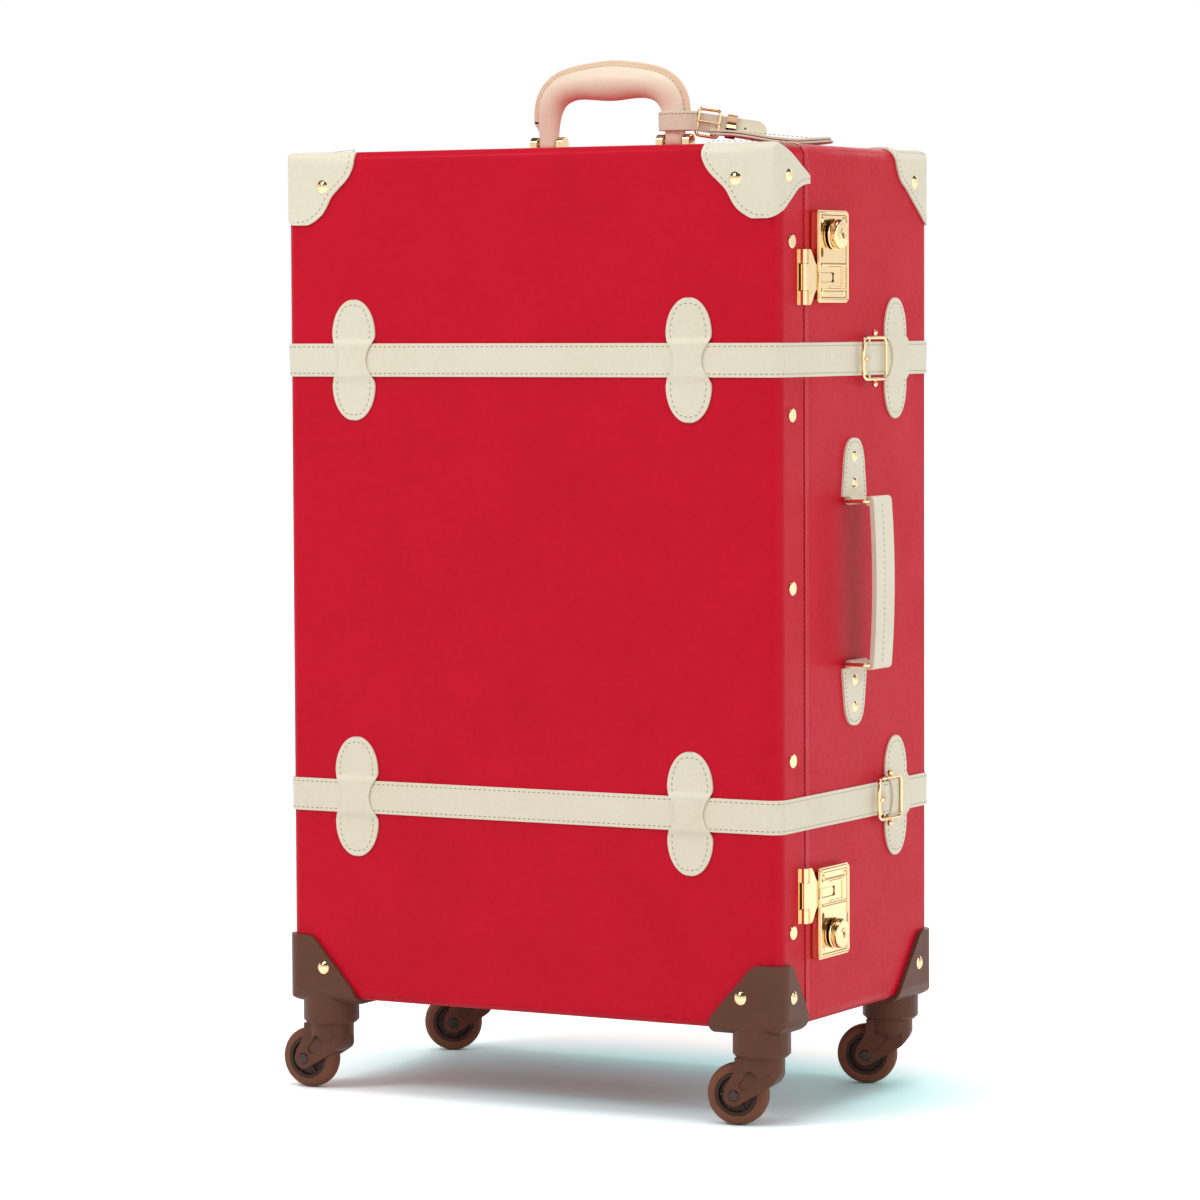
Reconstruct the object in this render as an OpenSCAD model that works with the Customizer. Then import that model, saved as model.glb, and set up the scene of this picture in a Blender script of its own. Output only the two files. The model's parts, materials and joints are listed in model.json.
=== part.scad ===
// Hard-sided spinner suitcase with a hinged front lid, two wrap-round straps,
// two sprung hasp locks, carry handles, a telescoping trolley and four casters.
// Right is +X, the broad lid face looks along -Y, and the floor is z = 0.

/* [Case] */
// Width across the broad face
body_w = 436; // [400:1:480]
// Depth of lid and base together
body_d = 264; // [250:1:290]
// Height of the case without its casters
body_h = 670; // [620:1:740]
// Depth of the lid tray
lid_d = 50.5; // [48:0.5:60]
// Thickness of the shell walls
wall = 4.5; // [3.5:0.5:6]
// Radius of the rounded edges
edge_r = 10; // [8:1:14]
// Gap between the lid edge and the base edge
seam_gap = 0.8; // [0.6:0.1:1.5]
// Thickness of the fabric lining
lining_t = 1.2; // [0.8:0.2:2]
// Thickness of the rim frame round the base opening
rim_t = 2.5; // [2:0.5:4]
// How far the rim frame reaches into the lid
rim_reach = 8; // [4:1:12]

/* [Leather trim] */
// Width of the wrap-round straps
strap_w = 26; // [22:1:30]
// Thickness of strap leather
strap_t = 1.6; // [1.2:0.1:2]
// Distance of each strap from the end of the case
strap_in = 163; // [150:1:190]
// Distance of the left front strap loops from the left side
loop_in_left = 63; // [60:1:110]
// Distance of the right front strap loops from the right side
loop_in_right = 75; // [68:1:110]
// Distance of the rear strap loops from the sides
loop_in_back = 75; // [68:1:110]
// Distance of the side strap loops from the seam
side_loop_in = 149.5; // [144:0.5:156]
// Length of strap tail past the middle of its side loop
tail_past = 21; // [20:1:30]
// Width of a strap loop at its lobes
loop_w = 39; // [34:1:42]
// Height of a strap loop from tip to tip
loop_h = 95; // [84:1:104]
// Thickness of the strap loop leather
loop_t = 1.5; // [1:0.1:2]
// Reach of a leather corner cap along the broad face
cap_len = 64; // [54:1:72]
// Reach of a leather corner cap down the edge
cap_drop = 58.5; // [50:0.5:66]
// Thickness of the corner cap leather
cap_t = 1.6; // [1.2:0.1:2.4]

/* [Casters] */
// Wheel diameter
wheel_d = 48; // [42:1:54]
// Wheel width
wheel_w = 16; // [13:1:18]
// Distance of the wheel axle behind the swivel axis
trail = 18.5; // [17:0.5:20]
// Height of the fork top above the wheel axle
fork_h = 29; // [28:1:34]
// Diameter of the fork neck
neck_d = 35.5; // [34:0.5:38]
// Thickness of each fork arm
arm_t = 4.5; // [3.5:0.5:5]
// Axle diameter
axle_d = 6; // [5:0.5:8]
// Kingpin diameter
kingpin_d = 9; // [8:0.5:11]
// Diameter of the swivel cup
cup_d = 44.5; // [42:0.5:45]
// Depth of the swivel cup below the case
cup_h = 21.5; // [20:0.5:26]
// Distance of a swivel axis from the narrow side
caster_in_x = 25; // [23:0.5:28]
// Distance of a swivel axis from the broad face
caster_in_y = 19; // [19:0.5:24]
// Thickness of the corner guards
guard_t = 3.5; // [3:0.5:4.5]
// Height of a corner guard
guard_h = 50.5; // [44:0.5:56]
// Reach of a corner guard along the case
guard_len = 60; // [54:1:68]

/* [Locks and buckles] */
// Width of a lock case
lock_w = 51.5; // [48:0.5:54]
// Height of a lock case
lock_h = 70; // [68:1:76]
// Thickness of a lock case
lock_t = 8; // [7.5:0.5:10]
// Distance of a lock centre from the end of the case
lock_in = 85; // [82:1:100]
// Diameter of the lock knob
knob_d = 24; // [20:1:26]
// Sideways travel of the lock knob
knob_travel = 5; // [3:0.5:6]
// Height of a hasp at its hinge
hasp_h = 42; // [38:1:46]
// Length of a hasp from its hinge to the tip of its tongue
hasp_len = 43; // [40:1:46]
// Outer size of a strap buckle along the strap
buckle_len = 43; // [38:1:46]
// Distance of the upper buckle from the seam
buckle_up_in = 100.5; // [94:0.5:104]
// Distance of the lower buckle from the seam
buckle_low_in = 127.5; // [118:0.5:129]

/* [Handles] */
// Width of the top handle with its sewn edge
handle_w = 143; // [130:1:156]
// Height of the top handle above the case
handle_h = 73; // [66:1:80]
// Thickness of the top handle's padding at its middle
grip_t = 28; // [25:1:31]
// Width of the sewn edge round the top handle
grip_edge = 4.2; // [3:0.2:5]
// Length of the side grip
side_grip_h = 134; // [120:1:150]
// Width of the side grip
side_grip_w = 32; // [28:1:36]
// Reach of the side handle rings from their pivots
ring_reach = 18.5; // [16:0.5:22]
// Wire diameter of the side handle rings
ring_wire = 3.2; // [2.6:0.2:3.6]

/* [Trolley] */
// Distance between the two trolley tubes
trolley_pitch = 150; // [130:1:160]
// Width of an outer trolley tube
tube_w = 20; // [18:1:22]
// Front-to-back size of an outer trolley tube
tube_d = 14; // [12:1:16]
// Wall of the trolley tubes
tube_wall = 1.2; // [1:0.1:1.6]
// Depth of the trolley recess
recess_h = 26; // [24:1:32]
// Length of the telescoping travel
trolley_travel = 400; // [300:10:440]

/* [Hinges and feet] */
// Length of a lid hinge
hinge_len = 60; // [50:1:70]
// Width of a hinge leaf
leaf_w = 20; // [16:1:22]
// Thickness of a hinge leaf
leaf_t = 1.5; // [1.2:0.1:2]
// Diameter of a hinge barrel
barrel_d = 6.4; // [6:0.2:7]
// Diameter of a hinge pin
pin_d = 3.2; // [2.6:0.2:3.4]
// Height of a side foot
foot_h = 12; // [9:1:15]
// Diameter of the face of a side foot
foot_d = 18; // [14:1:22]

/* [Hidden] */
$fn = 48;

// Colours of the finishes
red = [0.74, 0.06, 0.13];
cream = [0.91, 0.88, 0.79];
peach = [0.92, 0.78, 0.68];
brown = [0.36, 0.24, 0.19];
gold = [0.86, 0.69, 0.4];
steel = [0.3, 0.3, 0.31];
silver = [0.75, 0.76, 0.78];
fabric = [0.85, 0.8, 0.7];
black = [0.1, 0.1, 0.1];

// Clearances
seat = 0.3;      // between a soft or curved piece and what carries it
run = 0.05;      // radial, between a pin and its bore
slide = 0.4;     // between flat pieces that slide or swing past each other
far = 2000;      // longer than anything in the case

// Planes of the case
front_y = -body_d / 2;
back_y = body_d / 2;
right_x = body_w / 2;
left_x = -body_w / 2;
axle_z = wheel_d / 2;
fork_top = axle_z + fork_h;
case_z = fork_top + cup_h;
top_z = case_z + body_h;
mid_z = (case_z + top_z) / 2;
seam_y = front_y + lid_d;
strap_zs = [top_z - strap_in, case_z + strap_in];

// Offsets of the layers that lie over the case, measured from its walls
tail_off = seat + strap_t + 0.2;                 // strap tail over the base strap
front_arch = seat + strap_t + seat;              // inside of a front strap loop
side_arch = tail_off + strap_t + 0.2;            // inside of a side strap loop
bar_r = 1.2;                                     // buckle wire radius
bar_off = side_arch + loop_t + seat + bar_r;     // buckle bars above the wall
prong_r = bar_r + 0.6;                           // eye of a buckle prong
heel_off = seat + prong_r;                       // buckle centre bar above the wall

// A rectangle with true round corners
module rounded_rect(w, d, r) {
    square([w - 2 * r, d], center = true);
    square([w, d - 2 * r], center = true);
    for (x = [-1, 1], y = [-1, 1])
        translate([x * (w / 2 - r), y * (d / 2 - r)]) circle(r);
}

// A smooth outline through the given points
function through(a, b, c, d, t) =
    b + t * (c - a) / 2 + t * t * (2 * a - 5 * b + 4 * c - d) / 2 + t * t * t * (3 * b - a - 3 * c + d) / 2;
function smooth(p, steps = 5) = let (last = len(p) - 1) concat(
    [for (i = [0 : last - 1], k = [0 : steps - 1])
        through(p[max(i - 1, 0)], p[i], p[i + 1], p[min(i + 2, last)], k / steps)],
    [p[last]]
);

// Points given as shares of a width and a height
function scaled(p, w, h) = [for (q = p) [q[0] * w, q[1] * h]];

// The case outline with every edge rounded, grown outwards by the given amount
module case_form(grow) {
    w = body_w + 2 * grow;
    d = body_d + 2 * grow;
    h = body_h + 2 * grow;
    r = edge_r + grow;
    translate([0, 0, mid_z]) intersection() {
        linear_extrude(h, center = true) rounded_rect(w, d, r);
        rotate([90, 0, 0]) linear_extrude(d, center = true) rounded_rect(w, h, r);
        rotate([90, 0, 90]) linear_extrude(w, center = true) rounded_rect(d, h, r);
    }
}

// A skin that lies over the case
module case_skin(gap, t) {
    difference() {
        case_form(gap + t);
        case_form(gap);
    }
}

// Everything in front of or behind a plane across the depth
module before(y) {
    translate([-far / 2, y - far, -far / 2]) cube(far);
}
module behind(y) {
    translate([-far / 2, y, -far / 2]) cube(far);
}

// A band across the case at one height, from its wall outwards
module strap_ring(z, off, t) {
    translate([0, 0, z]) linear_extrude(strap_w, center = true) difference() {
        rounded_rect(body_w + 2 * (off + t), body_d + 2 * (off + t), edge_r + off + t);
        rounded_rect(body_w + 2 * off, body_d + 2 * off, edge_r + off);
    }
}

// A ring that runs round inside the case walls, between two depths
module wall_ring(inset, t, y0, y1) {
    translate([0, y1, mid_z]) rotate([90, 0, 0]) linear_extrude(y1 - y0) difference() {
        rounded_rect(body_w - 2 * inset, body_h - 2 * inset, edge_r - wall);
        rounded_rect(body_w - 2 * (inset + t), body_h - 2 * (inset + t), max(edge_r - wall - t, 1));
    }
}

// A bar of round section along the height, between two heights
module upright(x, y, z0, z1, r) {
    translate([x, y, z0]) cylinder(h = z1 - z0, r = r);
}

/* Shells */

rim_behind = 10;                                 // how far the rim frame reaches into the base
cup_w = trolley_pitch + tube_w + 14;             // inside length of the recess
cup_dp = tube_d + 16;                            // inside width of the recess
cup_lip = 3;                                     // flange round the recess
cup_t = 2;                                       // recess wall
cup_y = back_y - wall - 2 - cup_dp / 2 - cup_t;  // middle of the recess
cover_t = 2;
cover_y = cup_y - cup_dp / 2 - cup_t - 1 - cover_t;

module base_shell() {
    color(red) difference() {
        intersection() {
            case_form(0);
            behind(seam_y + seam_gap / 2);
        }
        case_form(-wall);
        translate([0, cup_y, top_z])
            cube([cup_w + 2 * cup_t + 2 * seat, cup_dp + 2 * cup_t + 2 * seat, 6 * wall], center = true);
    }
}

// Cloth that lies inside the case walls
module inner_skin() {
    difference() {
        case_form(-wall - seat);
        case_form(-wall - seat - lining_t);
    }
}

module base_lining() {
    color(fabric) intersection() {
        inner_skin();
        behind(seam_y + rim_behind + 1);
        before(cover_y - seat);
    }
}

module base_rim() {
    color(silver) wall_ring(wall + seat, rim_t, seam_y - rim_reach, seam_y + rim_behind);
}

module trolley_cover() {
    color(fabric) translate([0, cover_y + cover_t, mid_z]) rotate([90, 0, 0]) linear_extrude(cover_t)
        rounded_rect(body_w - 2 * (wall + seat), body_h - 2 * (wall + seat), edge_r - wall);
}

module lid_shell() {
    groove_in = 7.5;
    groove_w = 0.8;
    color(red) difference() {
        intersection() {
            case_form(0);
            before(seam_y - seam_gap / 2);
        }
        case_form(-wall);
        intersection() {
            difference() {
                case_form(1);
                case_form(-0.6);
            }
            behind(seam_y - groove_in - groove_w);
            before(seam_y - groove_in);
        }
    }
}

module lid_lining() {
    color(fabric) intersection() {
        inner_skin();
        before(seam_y - rim_reach - 1);
    }
}

/* Hinges */

hinge_off = barrel_d / 2 + 0.4;
hinge_x = left_x - hinge_off;
hinge_zs = [case_z + guard_h + 3 + hinge_len / 2, mid_z, top_z - cap_drop + 6 - hinge_len / 2];
knuckles = 5;
knuckle_gap = 0.5;
knuckle_len = (hinge_len - (knuckles - 1) * knuckle_gap) / knuckles;

// The knuckles of one leaf: even ones belong to the base, odd ones to the lid
module knuckle_row(first) {
    for (k = [first : 2 : knuckles - 1]) {
        z = -hinge_len / 2 + k * (knuckle_len + knuckle_gap);
        translate([0, 0, z]) children();
    }
}

module hinge_base_leaves() {
    color(gold) for (z = hinge_zs) translate([hinge_x, seam_y, z]) union() {
        knuckle_row(0) {
            cylinder(h = knuckle_len, d = barrel_d);
            translate([hinge_off - leaf_t - seat, 0, 0]) cube([leaf_t + seat, 3, knuckle_len]);
        }
        translate([hinge_off - leaf_t, 2.6, -hinge_len / 2]) cube([leaf_t, leaf_w - 2.6, hinge_len]);
        translate([0, 0, -hinge_len / 2 - 1]) cylinder(h = hinge_len + 2, d = pin_d);
    }
}

module hinge_lid_leaves() {
    color(gold) for (z = hinge_zs) translate([hinge_x, seam_y, z]) difference() {
        union() {
            knuckle_row(1) {
                cylinder(h = knuckle_len, d = barrel_d);
                translate([hinge_off - leaf_t - seat, -3, 0]) cube([leaf_t + seat, 3, knuckle_len]);
            }
            translate([hinge_off - leaf_t, -leaf_w, -hinge_len / 2]) cube([leaf_t, leaf_w - 2.6, hinge_len]);
        }
        translate([0, 0, -hinge_len / 2 - 2]) cylinder(h = hinge_len + 4, r = pin_d / 2 + run);
    }
}

/* Corner caps and guards */

// Cap outlines from the corner, as shares of their reach and of the drop down the edge
cap_face_pts = [
    [0.9, -0.2], [0.975, -0.04], [1, 0.13], [0.965, 0.26], [0.89, 0.38], [0.765, 0.505],
    [0.672, 0.61], [0.598, 0.75], [0.514, 0.86], [0.367, 0.96], [0.22, 1], [-0.1, 1]
];
cap_lid_side_pts = [
    [1.2, 0.52], [1, 0.52], [0.8, 0.535], [0.59, 0.59], [0.38, 0.715], [0.17, 0.84], [0, 0.95], [-0.1, 1.02]
];
cap_base_side_pts = [
    [0.96, -0.2], [1, 0.02], [0.975, 0.15], [0.93, 0.27], [0.84, 0.415], [0.665, 0.54],
    [0.49, 0.685], [0.31, 0.83], [0.155, 0.96], [0, 1.03], [-0.1, 1.04]
];
cap_top_pts = [
    [1, -0.1], [1, 0.15], [0.93, 0.3], [0.78, 0.46], [0.62, 0.6], [0.46, 0.78],
    [0.3, 0.93], [0.15, 1], [-0.1, 1]
];

module corner_outline(pts, reach, drop) {
    polygon(concat([[-5, -5]], smooth(scaled(pts, reach, drop))));
}

// One leather cap on the top corner at +X and the given depth side
module corner_cap(face, side_pts, reach) {
    toward = face > 0 ? 1 : 0;
    intersection() {
        case_skin(seat, cap_t);
        translate([right_x, far / 2, top_z]) rotate([90, 0, 0]) mirror([1, 0]) mirror([0, 1])
            linear_extrude(far) corner_outline(cap_face_pts, cap_len, cap_drop);
        translate([-far / 2, face * back_y, top_z]) rotate([90, 0, 90]) mirror([toward, 0]) mirror([0, 1])
            linear_extrude(far) corner_outline(side_pts, reach, cap_drop);
        translate([right_x, face * back_y, -far / 4]) mirror([1, 0]) mirror([0, toward])
            linear_extrude(far) corner_outline(cap_top_pts, cap_len, reach);
    }
}

module base_corner_caps() {
    color(cream) for (s = [0, 1]) mirror([s, 0, 0]) corner_cap(1, cap_base_side_pts, cap_len);
}

module lid_corner_caps() {
    color(cream) for (s = [0, 1]) mirror([s, 0, 0]) intersection() {
        corner_cap(-1, cap_lid_side_pts, lid_d + 1);
        before(seam_y - seam_gap / 2);
    }
}

// Guard outline from the bottom corner, as shares of its reach and height
guard_pts = [
    [0.93, -0.2], [0.99, -0.07], [1, 0.04], [0.965, 0.18], [0.87, 0.31], [0.736, 0.49],
    [0.536, 0.75], [0.41, 0.92], [0.33, 0.985], [0.24, 1], [-0.1, 1]
];
lid_guard_in = 7;                                // from the seam to the lid's guards
kingpin_len = 7.5;                               // how far the kingpin reaches into its fork
kingpin_head_d = kingpin_d + 4;
kingpin_head_h = 2;

// One moulded guard with its swivel cup and kingpin on the bottom corner at +X
module foot_guard(face, reach) {
    cup_top = edge_r + 1;
    toward = face > 0 ? 1 : 0;
    chamfer = 2.5;
    intersection() {
        case_skin(seat, guard_t);
        translate([right_x, far / 2, case_z]) rotate([90, 0, 0]) mirror([1, 0])
            linear_extrude(far) corner_outline(guard_pts, guard_len, guard_h);
        translate([-far / 2, face * back_y, case_z]) rotate([90, 0, 90]) mirror([toward, 0])
            linear_extrude(far) corner_outline(guard_pts, reach, guard_h);
    }
    difference() {
        translate([caster_x, face * caster_y, fork_top + slide]) {
            cylinder(h = chamfer, d1 = cup_d - 5, d2 = cup_d);
            translate([0, 0, chamfer]) cylinder(h = cup_h - slide - chamfer + cup_top, d = cup_d);
        }
        case_form(seat + guard_t / 2);
    }
    translate([caster_x, face * caster_y, fork_top + slide - kingpin_len]) {
        cylinder(h = kingpin_len + 1, d = kingpin_d);
        cylinder(h = kingpin_head_h, d = kingpin_head_d);
    }
}

module base_foot_guards() {
    color(brown) for (s = [0, 1]) mirror([s, 0, 0]) foot_guard(1, guard_len);
}

module lid_foot_guards() {
    color(brown) for (s = [0, 1]) mirror([s, 0, 0]) foot_guard(-1, lid_d - lid_guard_in);
}

/* Straps */

prong_w = 2.4;
side_loop_y = seam_y + side_loop_in;
buckle_ys = [seam_y + buckle_up_in, seam_y + buckle_low_in];
bend_y0 = seam_y - 7;                            // the bend at the hinges starts here
bend_y1 = seam_y + 12;                           // and ends here

module lid_straps() {
    color(cream) for (z = strap_zs) intersection() {
        strap_ring(z, seat, strap_t);
        before(seam_y - 3);
        union() {
            translate([0, -far / 2, 0]) cube(far);
            translate([-far, bend_y0 - far, 0]) cube(far);
        }
    }
}

module base_straps() {
    color(cream) for (i = [0, 1]) difference() {
        intersection() {
            strap_ring(strap_zs[i], seat, strap_t);
            union() {
                translate([-far, bend_y1, 0]) cube(far);
                translate([0, buckle_ys[i] + bar_r + seat, 0]) cube(far);
            }
        }
        translate([right_x - 1, buckle_ys[i], strap_zs[i] - prong_w]) cube([10, 8, 2 * prong_w]);
    }
}

// Plan of the strap where it bows out over the hinge line, in the wall's own frame
module bend_outline() {
    level = hinge_off - strap_t / 2;
    polygon([
        [bend_y0, seat], [seam_y - 3, level], [seam_y + 3, level], [bend_y1, seat],
        [bend_y1, seat + strap_t], [seam_y + 3, level + strap_t], [seam_y - 3, level + strap_t],
        [bend_y0, seat + strap_t]
    ]);
}

module strap_bends() {
    color(cream) for (z = strap_zs) translate([left_x, 0, z])
        linear_extrude(strap_w, center = true) rotate(90) bend_outline();
}

// Side view of a strap tail: out from the seam, over the centre bar and on to its end
rise = 13;                                       // from the bar to where the tail leaves the wall
crest = 4;                                       // half the level stretch over the bar, at most
module tail_outline(y_bar, y_end) {
    over = heel_off + bar_r + 0.2;
    down = min(y_bar + 10, side_loop_y - 0.9 * loop_w / 2 - seat - 0.2);   // flat before the loop
    crest_end = y_bar + min(crest, 0.4 * (down - y_bar));
    polygon([
        [seam_y - 3, seat], [y_bar - rise, seat], [y_bar - crest, over], [crest_end, over],
        [down, tail_off], [y_end, tail_off], [y_end, tail_off + strap_t],
        [down, tail_off + strap_t], [crest_end, over + strap_t],
        [y_bar - crest, over + strap_t], [y_bar - rise, seat + strap_t], [seam_y - 3, seat + strap_t]
    ]);
}

module strap_tails() {
    hole_pitch = 23;                             // between the holes of the strap
    prong_in = 9;                                // from the middle bar back to the prong's hole
    hole_r = 1.5;
    color(cream) for (i = [0, 1]) {
        b = buckle_ys[i];
        translate([right_x, 0, strap_zs[i]]) difference() {
            linear_extrude(strap_w, center = true) mirror([1, 0]) rotate(90)
                tail_outline(b, side_loop_y + tail_past);
            translate([-1, b - rise + 2, -prong_w]) cube([20, rise + crest - 1, 2 * prong_w]);
            for (k = [-1, 1]) translate([0, b - prong_in + k * hole_pitch, 0]) rotate([0, 90, 0])
                cylinder(h = 20, r = hole_r);
        }
    }
}

// Half of a strap loop's upper lobe from the waist to the tip, as shares of the half sizes
loop_pts = [
    [0.615, 0], [0.64, 0.085], [0.72, 0.17], [0.88, 0.27], [0.965, 0.34], [1, 0.42],
    [0.967, 0.568], [0.861, 0.716], [0.686, 0.842], [0.454, 0.937], [0.224, 0.985], [0, 1]
];

// Outline of a strap loop: two tongue-shaped lobes joined by a narrower waist
module loop_outline() {
    edge = smooth(scaled(loop_pts, loop_w / 2, loop_h / 2), 3);
    n = len(edge);
    for (s = [0, 1]) mirror([0, s])
        polygon(concat(edge, [for (i = [n - 1 : -1 : 0]) [-edge[i][0], edge[i][1]]]));
}

// A strap loop lying on a wall in the plane z = 0, with room for the given stack
module strap_loop(arch) {
    room = strap_w + 2 * slide;
    difference() {
        union() {
            translate([0, 0, seat]) linear_extrude(loop_t) loop_outline();
            translate([0, 0, seat]) linear_extrude(arch + loop_t - seat) intersection() {
                loop_outline();
                square([loop_w, room + 2 * loop_t], center = true);
            }
        }
        translate([-loop_w, -room / 2, -1]) cube([2 * loop_w, room, arch + 1]);
    }
}

module lid_strap_loops() {
    color(cream) for (z = strap_zs, x = [left_x + loop_in_left, right_x - loop_in_right])
        translate([x, front_y, z]) rotate([90, 0, 0]) strap_loop(front_arch);
}

module base_strap_loops() {
    color(cream) for (z = strap_zs) {
        translate([right_x, side_loop_y, z]) rotate([90, 0, 90]) strap_loop(side_arch);
        for (x = [-1, 1]) translate([x * (right_x - loop_in_back), back_y, z]) rotate([90, 0, 180])
            strap_loop(front_arch);
    }
}

/* Buckles */

// A buckle frame in its own frame: x outwards from the wall, y along the strap
module buckle_frame() {
    half = buckle_len / 2 - bar_r;
    rise = strap_w / 2 + 3;
    ball = 2.3;
    for (s = [-1, 1]) {
        translate([bar_off, s * half, -rise]) cylinder(h = 2 * rise, r = bar_r);
        translate([bar_off, -half, s * rise]) rotate([-90, 0, 0]) cylinder(h = 2 * half, r = bar_r);
        translate([heel_off, 0, s * rise]) rotate([0, 90, 0]) cylinder(h = bar_off - heel_off, r = bar_r);
        translate([heel_off, 0, s * rise]) sphere(bar_r);
        for (e = [-1, 1]) translate([bar_off, e * half, s * rise]) sphere(bar_r);
        translate([bar_off, 0, s * (rise + ball)]) sphere(ball);
    }
    translate([heel_off, 0, -rise]) cylinder(h = 2 * rise, r = bar_r);
}

module buckle_frames() {
    color(gold) for (i = [0, 1]) translate([right_x, buckle_ys[i], strap_zs[i]]) buckle_frame();
}

module buckle_prong(i) {
    tip_x = bar_off + bar_r + 0.2;
    tip_y = -(buckle_len / 2 + 0.5);
    color(gold) translate([right_x, buckle_ys[i], strap_zs[i]]) difference() {
        union() {
            translate([heel_off, 0, -prong_w / 2]) cylinder(h = prong_w, r = prong_r);
            translate([0, 0, -prong_w / 2]) linear_extrude(prong_w) polygon([
                [heel_off + prong_r * 0.9, 0.6], [tip_x + 1.8, -buckle_len / 2 + 5], [tip_x + 1.8, tip_y],
                [tip_x, tip_y], [tip_x, -buckle_len / 2 + 2 * bar_r + 1], [heel_off, -prong_r * 0.9]
            ]);
        }
        translate([heel_off, 0, -prong_w]) cylinder(h = 2 * prong_w, r = bar_r + run);
    }
}
module buckle_prong_upper() {
    buckle_prong(0);
}
module buckle_prong_lower() {
    buckle_prong(1);
}

/* Locks */

lock_y = seam_y + 1.5 + lock_w / 2;
lock_zs = [top_z - lock_in, case_z + lock_in];
hasp_dz = 15.8;                                  // hasp and knob, either side of the lock's middle
knob_dz = 16.8;
hasp_zs = [lock_zs[0] - hasp_dz, lock_zs[1] + hasp_dz];
knob_zs = [lock_zs[0] + knob_dz, lock_zs[1] - knob_dz];
hasp_axis_y = seam_y - 15.5;
hasp_barrel = 5.2;
hasp_pin = 2.4;
hasp_plate_t = 1;
hasp_plate_w = 11;
hasp_off = hasp_barrel / 2 + hasp_plate_t + slide;   // hasp axis above the wall
hasp_leaf_t = 1.8;
leaf_off = hasp_off + hasp_barrel / 2 - hasp_leaf_t;
tongue_h = 6.6;
knob_stem = 8;
stem_room = knob_stem + 0.8;

// One lock case in its own frame: x outwards, y along the depth, z up from its middle
module lock_case() {
    frame_w = 22;
    frame_h = 15;
    difference() {
        union() {
            rotate([90, 0, 90]) linear_extrude(lock_t - 1) rounded_rect(lock_w, lock_h, 2.5);
            rotate([90, 0, 90]) linear_extrude(lock_t) rounded_rect(lock_w - 2, lock_h - 2, 1.8);
        }
        // sunk panel inside a raised border
        translate([lock_t - 0.5, 0, 0]) rotate([90, 0, 90]) linear_extrude(1)
            rounded_rect(lock_w - 7, lock_h - 7, 1.5);
        // channel for the tongue, open outwards and towards the seam
        translate([leaf_off - slide, -lock_w / 2 - 1, -hasp_dz - tongue_h / 2 - slide])
            cube([lock_t, hasp_len - (lock_y - lock_w / 2 - hasp_axis_y) + 2, tongue_h + 2 * slide]);
        // slot and chamber for the knob's stem
        translate([lock_t - 4.5, 0, knob_dz]) {
            for (s = [0, knob_travel]) translate([0, s, 0]) rotate([0, 90, 0]) cylinder(h = 6, d = stem_room);
            translate([0, 0, -stem_room / 2]) cube([6, knob_travel, stem_room]);
        }
    }
    // raised window frame round the tongue's end
    for (s = [-1, 1]) translate([lock_t - 0.6, -frame_w / 2 + 4, -hasp_dz + s * frame_h / 2 - 0.75])
        cube([1, frame_w, 1.5]);
    translate([lock_t - 0.6, frame_w / 2 + 4 - 1.5, -hasp_dz - frame_h / 2]) cube([1, 1.5, frame_h]);
}

module lock_cases() {
    color(gold) {
        translate([right_x, lock_y, lock_zs[0]]) lock_case();
        translate([right_x, lock_y, lock_zs[1]]) mirror([0, 0, 1]) lock_case();
    }
}

// A round keyed knob that slides sideways to let the hasp go
module lock_knob(i) {
    color(gold) translate([right_x + lock_t, lock_y, knob_zs[i]]) rotate([0, 90, 0]) difference() {
        union() {
            translate([0, 0, -4]) cylinder(h = 5, d = knob_stem);
            translate([0, 0, seat]) cylinder(h = 1.8, d = knob_d);
            translate([0, 0, seat + 1.8]) cylinder(h = 5, d1 = knob_d - 3, d2 = knob_d - 4.5);
            translate([0, 0, seat + 6.8]) cylinder(h = 1.2, d1 = knob_d - 4.5, d2 = knob_d - 9);
        }
        translate([0, 0, 5]) cylinder(h = 5, d = 3);
        translate([-0.6, -0.8, 5]) cube([4, 1.6, 5]);
    }
}
module lock_knob_upper() {
    lock_knob(0);
}
module lock_knob_lower() {
    lock_knob(1);
}

hasp_mid = 20;                                   // length of the hasp's own knuckle
module hasp_plates() {
    end_len = (hasp_h - hasp_mid) / 2 - seat;
    color(gold) for (z = hasp_zs) translate([right_x, hasp_axis_y, z]) union() {
        translate([0, -hasp_plate_w / 2, -hasp_h / 2]) cube([hasp_plate_t, hasp_plate_w, hasp_h]);
        for (s = [0, 1]) mirror([0, 0, s]) translate([0, 0, hasp_h / 2 - end_len]) {
            translate([hasp_off, 0, 0]) cylinder(h = end_len, d = hasp_barrel);
            translate([0, -hasp_barrel / 2, 0]) cube([hasp_off, hasp_barrel, end_len]);
        }
        translate([hasp_off, 0, -hasp_h / 2]) cylinder(h = hasp_h, d = hasp_pin);
    }
}

// Outline of a hasp from its axis: a wing that narrows in an S and ends in a tongue
module hasp_outline() {
    wing = lock_y - lock_w / 2 - hasp_axis_y - slide;
    wing_end = 19;
    for (s = [-1, 1]) scale([1, s]) polygon(concat(
        [[0, 0], [0, hasp_mid / 2], [2.8, hasp_mid / 2], [2.8, hasp_h / 2], [5, hasp_h / 2]],
        [for (k = [0 : 8]) let (u = k / 8)
            [5 + u * (wing - 5), wing_end / 2 + (hasp_h - wing_end) / 2 * (1 + cos(180 * u)) / 2]],
        [[wing, tongue_h / 2], [hasp_len - 2, tongue_h / 2],
         [hasp_len, tongue_h / 2 - 2], [hasp_len, 0]]
    ));
}

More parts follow.
